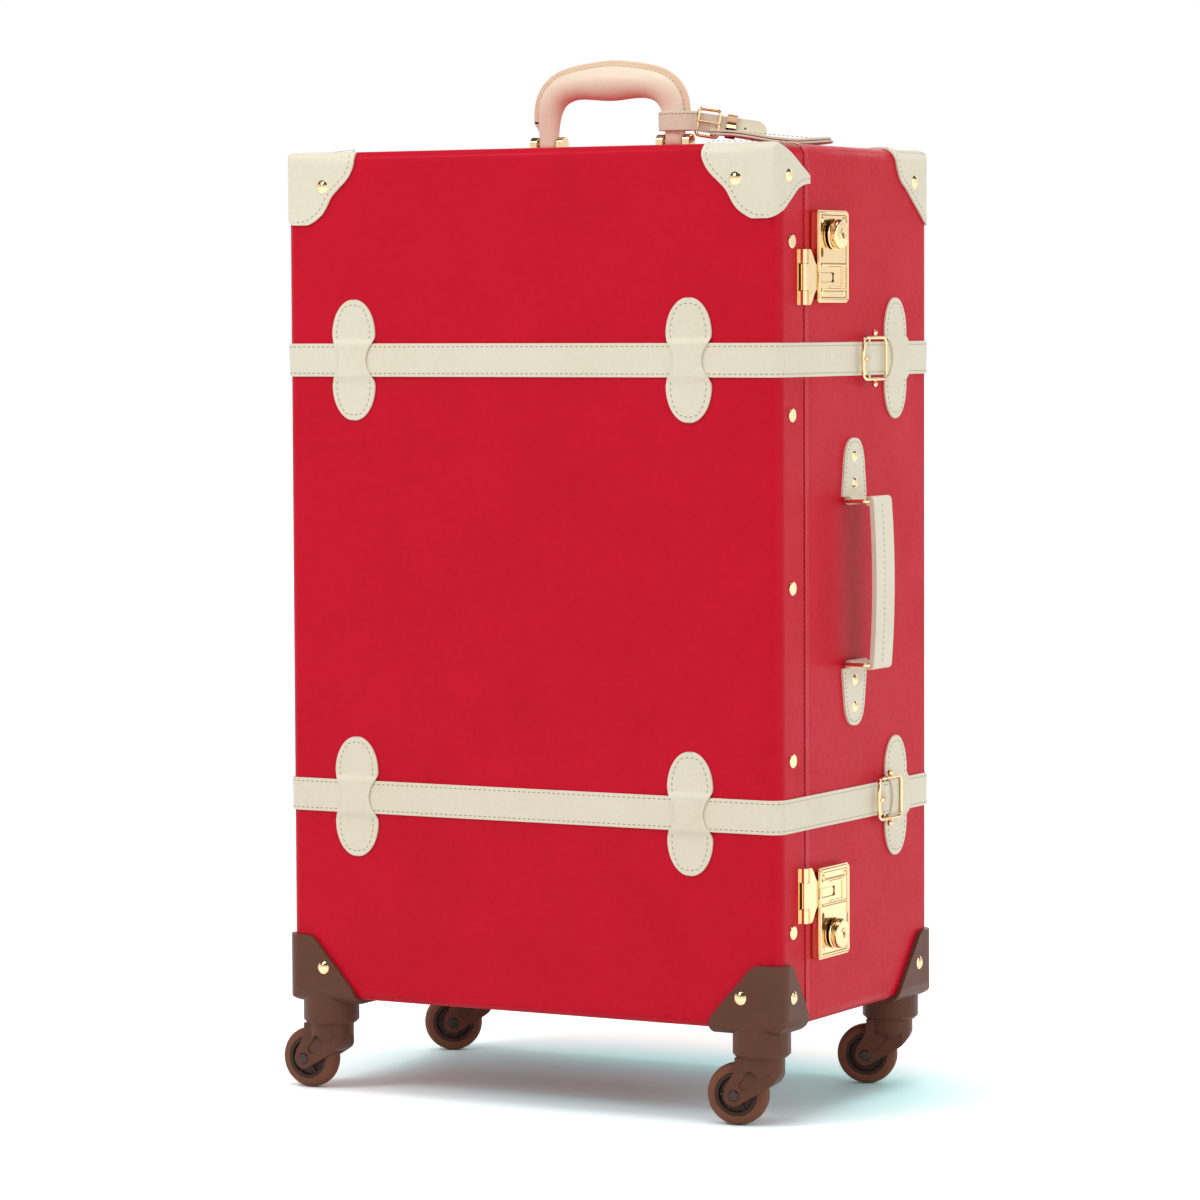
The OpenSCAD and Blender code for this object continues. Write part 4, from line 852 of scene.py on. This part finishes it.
def bend_along(mesh_data, start, end, steps, shift):
    """Cuts a flat piece across X and moves each point by a function of its X."""
    for k in range(1, steps):
        whole = mesh_data.verts[:] + mesh_data.edges[:] + mesh_data.faces[:]
        at = (start + (end - start) * k / steps, 0, 0)
        bmesh.ops.bisect_plane(mesh_data, geom=whole, plane_co=at, plane_no=X_OUT)
    for vert in mesh_data.verts:
        vert.co += shift(vert.co.x)


def band_frames(line):
    """Frames along a line round the case: X outwards, Y its width, Z along it."""
    return [axes(point, out, -Y_OUT, out.cross(-Y_OUT)) for point, out in line]


lid_band = band_frames(perimeter(SEAM - 0.7 * MM - BINDING_W / 2, 0.1 * MM))
binding = swept(flat_section(0.8 * MM, BINDING_W, 0.25 * MM), lid_band, closed=True)
piece("lid_binding", binding, RED_BINDING, "lid")
seam_line = perimeter(SEAM - BINDING_W - 2.2 * MM, 0)
stitches("seam_stitches", [seam_line], "lid", RED_THREAD, 4.2 * MM)
eased_copy("base_shell", RED_LEATHER, 0.6 * MM, corner=60)
eased_copy("lid_shell", RED_LEATHER, 0.3 * MM, corner=60)


# Top handle: padding in an arch, with a sewn edge round its outside
HANDLE_FOOT = Vector((0, 7 * MM, TOP + 8 * MM))
LEG_X = 57 * MM
ARCH_H = 46.8 * MM
LEG_HALF = 8.5 * MM
SHOULDER_HALF = 11.3 * MM
GRIP_HALF = 14 * MM
EDGE_OUT = 4.2 * MM
EDGE_IN = 2 * MM    # how deep the sewn edge goes into the padding
EDGE_UP = 8.5 * MM  # where it starts over the pivots
FOOT_ROUNDING = ((1.7, 0.96), (3.4, 0.83), (4.8, 0.6))  # drop in mm and share of the depth
SEWN_AT = math.radians(15)  # where the stitches run, from the outside of the pad


def oval(turn, half_x, half_y, power):
    """A point of an oval with flattened sides, at a turn in radians."""
    c, s = math.cos(turn), math.sin(turn)
    r = ((abs(c) / half_x) ** power + (abs(s) / half_y) ** power) ** (-1 / power)
    return r * c, r * s


def arch_point(u):
    """The padding's middle line at a share of its length."""
    x, z = oval(math.pi * u, LEG_X, ARCH_H, 4)
    return Vector((-x, 0, z))


def end_step(u, start, end):
    """A soft step between two shares of the handle's length, the same from both ends."""
    return ease_step((min(u, 1 - u) - start) / (end - start))


def pad_half(u):
    """Half the padding's thickness in the plane of the handle."""
    return (LEG_HALF + (SHOULDER_HALF - LEG_HALF) * end_step(u, 0.02, 0.2)
            + (GRIP_HALF - SHOULDER_HALF) * end_step(u, 0.27, 0.5))


def pad_depth(u):
    """Half the padding's depth from front to back."""
    return (6 + 6 * end_step(u, 0.05, 0.4)) * MM


def arch_frame(u, out_by=0.0):
    """A frame on the handle: X outwards in its plane, Y its depth, Z along it."""
    d = (arch_point(min(u + 0.005, 1)) - arch_point(max(u - 0.005, 0))).normalized()
    out = Vector((-d.z, 0, d.x))
    return axes(HANDLE_FOOT + arch_point(u) + out * out_by, out, out.cross(d) * -1, d)


def top_handle():
    """The padded handle, its sewn edge and its stitches."""
    shares = [k / 60 for k in range(61)]
    disc = bmesh.new()
    bmesh.ops.create_circle(disc, cap_ends=True, segments=28, radius=1)
    frames = [arch_frame(u) @ Matrix.Diagonal((pad_half(u), pad_depth(u), 1, 1)) for u in shares]
    for u in (0, 1):
        for drop, share in FOOT_ROUNDING:
            foot = move(0, 0, -drop * MM) @ arch_frame(u)
            foot = foot @ Matrix.Diagonal((pad_half(u), pad_depth(u) * share, 1, 1))
            frames.insert(len(frames) if u else 0, foot)
    padding = swept((disc, next(iter(disc.faces))), frames)
    start = math.asin(EDGE_UP / LEG_X) / math.pi
    shares = [start + (1 - 2 * start) * k / 60 for k in range(61)]
    sunk = [EDGE_OUT * (1 - end_step(u, start, start + 0.045)) for u in shares]
    frames = [arch_frame(u, pad_half(u) + (EDGE_OUT - EDGE_IN) / 2 - down) for u, down in zip(shares, sunk)]
    edge = swept(flat_section(EDGE_OUT + EDGE_IN, 2.8 * MM, 1.0 * MM), frames)
    made = piece("top_handle_padding", padding, PEACH_LEATHER, "top_handle", "top_handle_grip",
                 corner=50)
    piece("top_handle_edge", edge, EDGE_LEATHER, "top_handle", corner=50)
    rows = []
    for s in (-1, 1):
        row = []
        for k in range(50):
            u = 0.05 + 0.9 * k / 49
            at = Vector((pad_half(u) * math.cos(SEWN_AT), s * pad_depth(u) * math.sin(SEWN_AT), 0))
            out = Vector((math.cos(SEWN_AT) * 0.5, s * math.sin(SEWN_AT) * 2.2, 0)).normalized()
            row.append(on(arch_frame(u), at, out))
        rows.append(row)
    stitches("top_handle_stitches", rows, "top_handle", pitch=3.5 * MM)


top_handle()


# Side handle: stitches round the tabs and down the grip
SIDE_Y = SEAM + 75.5 * MM
PIVOT_DZ = 63 * MM
TAB_FOOT = PIVOT_DZ + 3.2 * MM
TAB_W = 41 * MM
TAB_H = 45 * MM
GRIP_ROW_HALF = 62 * MM
AWAY = 80 * MM  # clear of everything on the wall
TAB_EDGE = ((1, 0.05), (0.98, 0.15), (0.89, 0.42), (0.83, 0.62), (0.72, 0.79), (0.52, 0.92),
            (0.28, 0.985), (0, 1))  # half of a tab's outline, as shares of its half width and its height


def tab_rows():
    """The stitch row round each tab of the side handle."""
    rows = []
    half = [(u * TAB_W / 2, v * TAB_H) for u, v in TAB_EDGE]
    outline = inset(through(half + [(-u, v) for u, v in reversed(half[:-1])]), 3 * MM)
    for s in (-1, 1):
        points = [Vector((RIGHT + 2 * MM, SIDE_Y + u, MIDDLE + s * (TAB_FOOT + v))) for u, v in outline]
        rows.append([(p, X_OUT) for p in points])
    return rows


def grip_rows():
    """The stitch line down the middle of the side grip."""
    tree = BVHTree.FromBMesh(merged("side_handle_grip"))
    heights = [MIDDLE + (k / 20 - 1) * GRIP_ROW_HALF for k in range(41)]
    hits = [tree.ray_cast(Vector((RIGHT + AWAY, SIDE_Y - 1.5 * MM, z)), -X_OUT)[:2] for z in heights]
    return [[(p, n) for p, n in hits if p]]


for name in ("side_handle_tabs", "side_handle_grip"):
    eased_copy(name, CREAM_LEATHER, 0.5 * MM)
stitches("tab_stitches", tab_rows(), "base", pitch=3.6 * MM)
stitches("side_grip_stitches", grip_rows(), "side_grip", pitch=4.4 * MM)

# Luggage tag: a band round the handle's right leg, its arm through a small buckle, and a two-layer leaf
TAG = move(LEG_X, HANDLE_FOOT.y, TOP) @ spun(27, "Z")
BAND_UP = 23.5 * MM
BAND_H = 15 * MM
BAND_T = 1.6 * MM
BAND_HALF_X = 15 * MM
BAND_HALF_Y = 8.6 * MM
ARM_FROM = 14 * MM
ARM_END = 72 * MM
LEAF_FROM = 27 * MM
LEAF_END = 124 * MM
LEAF_T = 1.7 * MM
LEAF_GAP = 0.7 * MM
LEAF_ROUND = 14 * MM
LEAF_HALF = 26 * MM
LEAF_NECK = ((0, -7), (7, -8), (14, -14), (21, -22))  # half of the neck, in mm from where the leaf starts
LEAF_HELD = 12.5 * MM  # its height at the strap, how far it falls from there, and its curl at the end
LEAF_FALL = 9.5 * MM
LEAF_CURL = 3 * MM
SHORTER = 1.5 * MM    # the upper leaf's end against the lower one's
BUCKLE_AT = (26 * MM, -1.9 * MM, BAND_UP - 1.6 * MM)
TAG_BUCKLE = (17 * MM, 21 * MM, 2.6 * MM)  # width, height and corners
KEEPER_AT = 44 * MM
KEEPER = (5.2 * MM, 18.5 * MM, 1.6 * MM)
HOLES_AT = (35 * MM, 55 * MM)
ON_EDGE = spun(90, "X")
ARM_LEAN = spun(9, "Y")


def arm_drop(x):
    """How far the tag's arm has come down at a distance along it."""
    return -0.15 * max(x - ARM_FROM, 0)


def leg_band():
    """The band round the leg and its row of dots."""
    centre = Vector((LEG_X + 2.3 * MM, HANDLE_FOOT.y, TOP + BAND_UP))
    turns = [2 * math.pi * (k % 48) / 48 for k in range(49)]
    line = [centre + Vector((*oval(a, BAND_HALF_X, BAND_HALF_Y, 2.6), 0)) for a in turns]
    frames = around(line, Z_OUT)
    row = [on(f, (BAND_T / 2, BAND_H / 2 - 2 * MM, 0), X_OUT) for f in frames]
    return swept(flat_section(BAND_T, BAND_H, 0.5 * MM), frames, closed=True), row


def tag_arm():
    """The arm: a strip on edge with a round end, leaning down towards the end."""
    half = BAND_H / 2
    turns = [math.pi * k / 14 for k in range(15)]
    tip = [(ARM_END - half * (1 - math.sin(a)), half * math.cos(a)) for a in turns]
    strip = flat_piece([(ARM_FROM, half)] + tip + [(ARM_FROM, -half)], BAND_T, 0.4 * MM)
    bend_along(strip, ARM_FROM, ARM_END, 8, lambda x: Vector((0, arm_drop(x), 0)))
    return placed(strip, TAG @ move(0, BAND_T / 2, BAND_UP) @ ON_EDGE)


def leaf_height(x):
    """The height of the leaf over the case: held up at the strap, then down, with a curled end."""
    share = min(max((x - LEAF_FROM) / (LEAF_END - LEAF_FROM), 0), 1)
    return LEAF_HELD - LEAF_FALL * ease_step(share * 1.25) + LEAF_CURL * share ** 3


def leaf_outline(grow, end):
    """The leaf's outline: a neck that widens to the full leaf with a round end."""
    half = LEAF_HALF + grow
    neck = [(x * MM, y * MM) for x, y in LEAF_NECK] + [(31 * MM, -half)]
    side = [(p.x, p.y) for p in through([(LEAF_FROM + x, y) for x, y in neck], 4)]
    side += [(end - LEAF_ROUND + LEAF_ROUND * math.sin(a), -half + LEAF_ROUND * (1 - math.cos(a)))
             for a in (math.pi / 2 * k / 6 for k in range(7))]
    return side + [(x, -y) for x, y in reversed(side)]


def tag_leaves():
    """The two layers of the leaf and the stitches of the upper one."""
    leaves = []
    upper = LEAF_T + LEAF_GAP
    for level, grow, end in ((0, 0, LEAF_END), (upper, -1 * MM, LEAF_END - SHORTER)):
        sheet = flat_piece(leaf_outline(grow, end), LEAF_T, 0.4 * MM)
        bend_along(sheet, LEAF_FROM, LEAF_END, 16, lambda x: Vector((0, 0, leaf_height(x) + level)))
        leaves.append(sheet)
    piece("tag_leaf", placed(join(leaves), TAG), CREAM_LEATHER, "base", "tag_body")
    edge = inset([Vector(p) for p in leaf_outline(-1 * MM, LEAF_END - SHORTER)[4:-4]], 2.6 * MM)
    row = [on(TAG, (p.x, p.y, leaf_height(p.x) + upper + LEAF_T), Z_OUT) for p in edge]
    stitches("tag_leaf_stitches", [row], "base", pitch=3.6 * MM)


def tag_metal():
    """The buckle of the tag's strap, the keeper behind it, and dark discs on the arm that stand for its
    holes as painted shade.
    """
    at = TAG @ move(*BUCKLE_AT) @ ARM_LEAN @ ON_EDGE
    ring = wire(rounded_path(*TAG_BUCKLE, at), at.to_3x3() @ Z_OUT, 1.35 * MM)
    bar = rod(at, [(-8.5, y, 0) for y in (-8.5, 0, 8.5)], 1.5)
    prong = rod(at, [(-8.5, 0.4, 1.6), (-2, 0.4, 1.3), (9.2, 0.4, 1.5)], 0.8, Y_OUT)
    piece("tag_buckle_dressed", join([ring, bar, prong]), GOLD, "base", "tag_buckle")
    keeper = TAG @ move(KEEPER_AT, 0, BAND_UP + arm_drop(KEEPER_AT)) @ ARM_LEAN
    across = keeper @ spun(90, "Y") @ spun(90, "Z")
    loop = around(rounded_path(*KEEPER, across, 3), keeper.to_3x3() @ X_OUT)
    band = swept(flat_section(0.9 * MM, 8 * MM, 0.3 * MM), loop, closed=True)
    piece("tag_keeper", band, ROSE_GOLD, "base")
    # Each hole is a thin dark brown disc on the arm: painted shade, not a cut
    holes = []
    for x in HOLES_AT:
        hole = bmesh.new()
        bmesh.ops.create_cone(hole, cap_ends=True, segments=16, radius1=0.95 * MM, radius2=0.8 * MM,
                              depth=0.24 * MM)
        holes.append(placed(hole, TAG @ move(x, -BAND_T / 2, BAND_UP + arm_drop(x)) @ ON_EDGE))
    piece("tag_holes", join(holes), DARK_BROWN, "base")


def tag():
    """The whole luggage tag."""
    band, dots = leg_band()
    made = piece("tag_strap_dressed", join([band, tag_arm()]), CREAM_LEATHER, "base", "tag_strap")
    made.parent = None
    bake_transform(made)
    stitches("tag_band_stitches", [dots], "top_handle", pitch=3.2 * MM)
    tag_leaves()
    tag_metal()


tag()

# Metal parts that keep the shape of their solids
for name in ("lock_cases", "hasp_plates", "hasp_upper", "hasp_lower",
             "buckle_prong_upper", "buckle_prong_lower", "side_ring_upper", "side_ring_lower",
             "top_handle_brackets", "hinge_base_leaves", "hinge_lid_leaves", "side_feet",
             "base_fasteners", "lid_fasteners"):
    eased_copy(name, GOLD, 0.3 * MM)


# Buckles of the straps
BUCKLE_HALF = 20.3 * MM
BUCKLE_RISE = 16 * MM
BAR_OUT = 6.9 * MM
HEEL_OUT = 2.1 * MM
BUCKLE_BOW = ((-19.6, -12), (-20.6, -9), (-21.3, -5), (-20.9, -1.6),
              (-20.9, 1.6), (-21.3, 5), (-20.6, 9), (-19.6, 12))
BALL_TURNS = [math.radians(35 + 29 * k) for k in range(5)]
BUCKLE_BALL = ([(0, 0), (1.5, 0), (1.9, 0.3), (1.5, 1.0), (1.2, 1.3)]
               + [(2.3 * math.sin(a), 3.3 - 2.3 * math.cos(a)) for a in BALL_TURNS] + [(0, 5.6)])


def buckle(i):
    """A buckle frame: a round-cornered wire, a bowed bar, and a centre bar on posts with balls."""
    at = frame_at((RIGHT + BAR_OUT, BUCKLE_YS[i], STRAP_ZS[i]), Y_OUT, X_OUT)
    rise, heel = BUCKLE_RISE / MM, (HEEL_OUT - BAR_OUT) / MM
    parts = [wire(rounded_path(2 * BUCKLE_HALF, 2 * BUCKLE_RISE, 5.5 * MM, at, 7), X_OUT, 1.3 * MM),
             rod(at, [(x, y, 0.5) for x, y in BUCKLE_BOW], 1.6)]
    for s in (-1, 1):
        parts.append(rod(at, [(0, s * rise, heel), (0, s * rise, 0)], 1.2, X_OUT))
        up = at @ move(0, s * (BUCKLE_RISE + 0.6 * MM), 0)
        parts.append(lathe(BUCKLE_BALL, up @ spun(-90 * s, "X"), 24))
    parts.append(rod(at, [(0, -rise, heel), (0, rise, heel)], 1.2))
    node = "buckle_frames" if i == 0 else None
    piece("buckle_" + PAIR[i], join(parts), GOLD, "base", node, corner=50)


for index in (0, 1):
    buckle(index)


# Lock faces: border, window lines with dark gold lines beside them as painted shade, and a small almond in
# front of the cases
LOCK_OUT = 8 * MM
LOCK_Y = SEAM + 1.5 * MM + 51.5 * MM / 2
LOCK_ZS = (TOP - 85 * MM, BOTTOM + 85 * MM)
HASP_DZ = 15.8 * MM
KNOB_DZ = 16.8 * MM
LOCK_BORDER = (48.2 * MM, 66.7 * MM, 2.2 * MM)  # width, height and corners
LOCK_INNER = (43.8 * MM, 62.3 * MM, 1.4 * MM)
LINE_XS = (-21, 0, 21)
WINDOW_HALF = 9.2
KNOB_PROFILE = ((0, -4), (4, -4), (4, 0.3), (11.2, 0.3), (12, 0.7), (12, 1.4), (11.5, 1.9), (10.2, 2.0),
                (10.2, 2.5), (11.2, 2.8), (11.5, 3.4), (11.4, 6.2), (11.0, 7.0), (10.3, 7.5), (9.4, 7.7),
                (4.6, 7.9), (4.3, 8.3), (3.7, 8.4), (3.2, 8.3), (3.0, 7.7), (0, 7.7))


def lock_face(i):
    """The raised lines on one lock, with dark gold lines beside them as painted shade, and the almond. The
    lower lock is the upper one turned over.
    """
    flip = (1, -1)[i]
    at = frame_at((RIGHT + LOCK_OUT, LOCK_Y, LOCK_ZS[i]), Y_OUT, X_OUT)
    border = rounded_path(*LOCK_BORDER, at @ move(0, 0, -0.15 * MM))
    inner = rounded_path(*LOCK_INNER, at @ move(0, 0, -0.55 * MM))
    raised = [wire(border, X_OUT, 0.75 * MM)]
    # The thin dark gold wires inside the border and beside the window lines are painted shade of grooves
    sunk = [wire(inner, X_OUT, 0.28 * MM)]
    for rise in (WINDOW_HALF, -WINDOW_HALF):
        y = -flip * HASP_DZ / MM + rise
        raised.append(rod(at, [(x, y, -0.3) for x in LINE_XS], 0.8))
        sunk.append(rod(at, [(x, y + math.copysign(1.3, rise), -0.5) for x in LINE_XS], 0.3))
    piece("lock_lines_" + PAIR[i], join(raised), GOLD, "base", corner=60)
    almond = Matrix.Diagonal((1.7 * MM, 3.9 * MM, 0.6 * MM, 1))
    sunk.append(ball(16, 8, at @ move(-19 * MM, flip * 3 * MM, -0.4 * MM) @ almond))
    piece("lock_shadow_lines_" + PAIR[i], join(sunk), SHADE_AND_ALMOND_GOLD, "base", corner=60)


def knob(i):
    """A lock's knob: a collar, a drum with a soft shoulder, and a key bezel."""
    name = PAIR[i]
    at = frame_at((RIGHT + LOCK_OUT, LOCK_Y, LOCK_ZS[i] + (1, -1)[i] * KNOB_DZ), Y_OUT, X_OUT)
    piece("lock_knob_%s_dressed" % name, lathe(KNOB_PROFILE, at), GOLD, "knob_" + name, "lock_knob_" + name,
          corner=28)
    # The keyhole is a thin black disc and slot laid on the bezel: painted shade where the hole is
    hole = lathe(((0, 7.72), (1.3, 7.72), (1.3, 7.9), (0, 7.9)), at, 20)
    narrow = Matrix.Diagonal((1.1 * MM, 2.4 * MM, 0.2 * MM, 1))
    slot = block(at @ move(0, -1.4 * MM, 7.8 * MM) @ narrow)
    piece("keyhole_" + name, join([hole, slot]), BLACK_PLASTIC, "knob_" + name, corner=60)


for index in (0, 1):
    lock_face(index)
    knob(index)


# Casters
WHEELS = {"front_left": (-1, -1, 0), "front_right": (1, -1, 10),
          "rear_left": (-1, 1, 30), "rear_right": (1, 1, 18)}  # side, end and turn of each caster
WHEEL_R = 24 * MM
AXLE_BACK = 18.5 * MM
TYRE_HALF = ((16.55, 7.6), (17.2, 8.0), (20.4, 7.7), (22.4, 6.4), (23.5, 4.4), (24.0, 2.0))
HUB_HALF = ((3.3, 8.4), (6.2, 8.4), (6.6, 8.0), (6.8, 5.2), (13.2, 5.0), (13.6, 7.4), (14.2, 7.8),
            (16.2, 7.8), (16.45, 7.5))
SPOKE = (7.4 * MM, 1.6 * MM, 1.6 * MM)
SPOKE_FROM = 9.8 * MM  # from the axle to the middle of a spoke
SPOKE_UP = 5.6 * MM
CASTER_X = RIGHT - 25 * MM
CASTER_Y = BACK - 19 * MM


def axle_frame(place):
    """The frame of a wheel: Z along its axle."""
    sx, sy, turn = WHEELS[place]
    swivel = move(sx * CASTER_X, sy * CASTER_Y, WHEEL_R) @ spun(turn, "Z")
    return swivel @ move(-AXLE_BACK, 0, 0) @ spun(90, "X")


def ring_outline(half):
    """A closed outline from its upper half, in millimetres."""
    outline = list(half) + [(r, -h) for r, h in reversed(half)]
    return outline + outline[:1]


def wheel(place):
    """A caster wheel: a rounded tyre, a sunk ring and a spoked hub."""
    at = axle_frame(place)
    tyre = lathe(ring_outline(TYRE_HALF), at)
    piece("tyre_%s_dressed" % place, tyre, BROWN_TYRE, "wheel_" + place, "tyre_" + place)
    parts = [lathe(ring_outline(HUB_HALF), Matrix.Identity(4))]
    bar = Matrix.Diagonal((*SPOKE, 1))
    for k in range(6):
        turn = spun(60 * k, "Z")
        parts += [block(turn @ move(SPOKE_FROM, 0, s * SPOKE_UP) @ bar) for s in (-1, 1)]
    hub = placed(join(parts), at)
    piece("hub_%s_dressed" % place, hub, DARK_BROWN, "wheel_" + place, "hub_" + place)


for place in WHEELS:
    eased_copy("fork_" + place, BROWN_PLASTIC, 0.9 * MM, segments=3)
    wheel(place)
    eased_copy("axle_" + place, DARK_STEEL, 0.4 * MM, segments=3)

# Trolley and inside
for name in ("trolley_cup", "trolley_grip"):
    eased_copy(name, BLACK_PLASTIC, 0.5 * MM)
eased_copy("trolley_button", GREY_PLASTIC, 0.5 * MM)
for surface, names in ((SILVER, ("trolley_inner_tubes", "trolley_outer_tubes", "base_rim")),
                       (LINING, ("base_lining", "lid_lining", "trolley_cover"))):
    for name in names:
        frame["nodes"][name].data.materials.clear()
        frame["nodes"][name].data.materials.append(surface)


# Studio
LENS = 141.957  # in millimetres, for a sensor 36 wide
CAMERA_AT = (1.8193, -3.2921, 0.6124)
YAW, PITCH, ROLL = 29.043, 3.391, -0.249  # in degrees
AIM = Vector((0, 0, 0.4))
LAMPS = (("key", "SUN", (-1.4, -2.4, 2.6), 0.27, 24), ("overhead", "SUN", (0.2, -0.3, 3.0), 0.9, 30),
         ("side_fill", "SUN", (3.0, -0.9, 1.3), 0.48, 40), ("rear_fill", "SUN", (-0.6, 3.0, 1.6), 0.5, 40),
         ("front_box", "AREA", (-0.7, -1.5, 2.0), 10.5, 0.7), ("side_box", "AREA", (2.7, 0.9, 1.7), 6, 0.9))
FLOOR_GREY = (0.8, 0.8, 0.8, 1)
OPEN_FLOOR = (1.38, 1.38, 1.38, 1)
# A painted cyan tint on the floor round the case, cancelling the red light that the case throws into its
# shadow
UNDER_CASE = (0.76, 1.38, 1.38, 1)
WHITE = (1, 1, 1, 1)
DARK_CEILING = (0.09, 0.08, 0.075, 1)


def camera():
    """The camera at the photograph's place."""
    data = bpy.data.cameras.new("camera")
    data.sensor_width = 36
    data.lens = LENS
    data.clip_start = 0.05
    data.clip_end = 100
    made = in_scene("camera", data)
    made.matrix_world = move(*CAMERA_AT) @ spun(YAW, "Z") @ spun(90 - PITCH, "X") @ spun(ROLL, "Z")
    bpy.context.scene.camera = made


def lamp(name, kind, place, power, size):
    """A lamp at a place, facing the case: a soft square, or a sun with a spread in degrees."""
    data = bpy.data.lights.new(name, kind)
    data.energy = power
    if kind == "SUN":
        data.angle = math.radians(size)
    else:
        data.size = size
    made = in_scene(name, data)
    made.location = place
    made.rotation_euler = (AIM - Vector(place)).to_track_quat("-Z", "Y").to_euler()


def seen_or_not(tree, seen, unseen):
    """Mixes one shader for what the lens, gloss and glass see with another for the light."""
    rays = add(tree, "ShaderNodeLightPath").outputs
    looked = combined(tree, rays["Is Camera Ray"], rays["Is Glossy Ray"], "MAXIMUM")
    looked = combined(tree, looked, rays["Is Transmission Ray"], "MAXIMUM")
    return add(tree, "ShaderNodeMixShader", {0: looked, 1: unseen, 2: seen}).outputs[0]


def floor_paint():
    """Pale floor paint. What the lens sees is whiter, and takes the red of the case out of its shadow."""
    made, tree, shader = blank("floor_paint", Base_Color=FLOOR_GREY, Roughness=1.0,
                               Specular_IOR_Level=0.0)
    at = add(tree, "ShaderNodeTexCoord").outputs["Object"]
    shape = {"Vector": at, "Scale": (1 / 0.27, 1 / 0.17, 1), "Location": (-0.1, -0.2, 0)}
    spread = add(tree, "ShaderNodeMapping", shape).outputs[0]
    far = add(tree, "ShaderNodeVectorMath", {0: spread}, operation="LENGTH").outputs["Value"]
    near = add(tree, "ShaderNodeMapRange", {"Value": far, "From Min": 0.45, "From Max": 1.5},
               interpolation_type="SMOOTHSTEP").outputs[0]
    paint = blend_colours(tree, near, UNDER_CASE, OPEN_FLOOR)
    seen = add(tree, "ShaderNodeBsdfDiffuse", {"Color": paint}).outputs[0]
    surface = tree.nodes["Material Output"].inputs["Surface"]
    tree.links.new(seen_or_not(tree, seen, shader.outputs[0]), surface)
    return made


def studio():
    """A pale floor, a white world whose ceiling is dark for the metal, and soft lamps."""
    bpy.ops.mesh.primitive_plane_add(size=120)
    floor = bpy.context.object
    floor.name = "floor"
    floor.data.materials.append(floor_paint())
    world = bpy.data.worlds.new("studio")
    bpy.context.scene.world = world
    world.use_nodes = True
    tree = world.node_tree
    up = add(tree, "ShaderNodeSeparateXYZ", {0: add(tree, "ShaderNodeTexCoord").outputs["Generated"]})
    walls = blend_colours(tree, ranged(tree, up.outputs[2], 0.26, 0.42), WHITE, DARK_CEILING)
    seen = add(tree, "ShaderNodeBackground", {"Color": walls, "Strength": 1.0}).outputs[0]
    unseen = add(tree, "ShaderNodeBackground", {"Color": WHITE, "Strength": 0.55}).outputs[0]
    tree.links.new(seen_or_not(tree, seen, unseen), tree.nodes["World Output"].inputs["Surface"])
    for row in LAMPS:
        lamp(*row)


camera()
studio()
bpy.context.scene.view_settings.view_transform = "Standard"
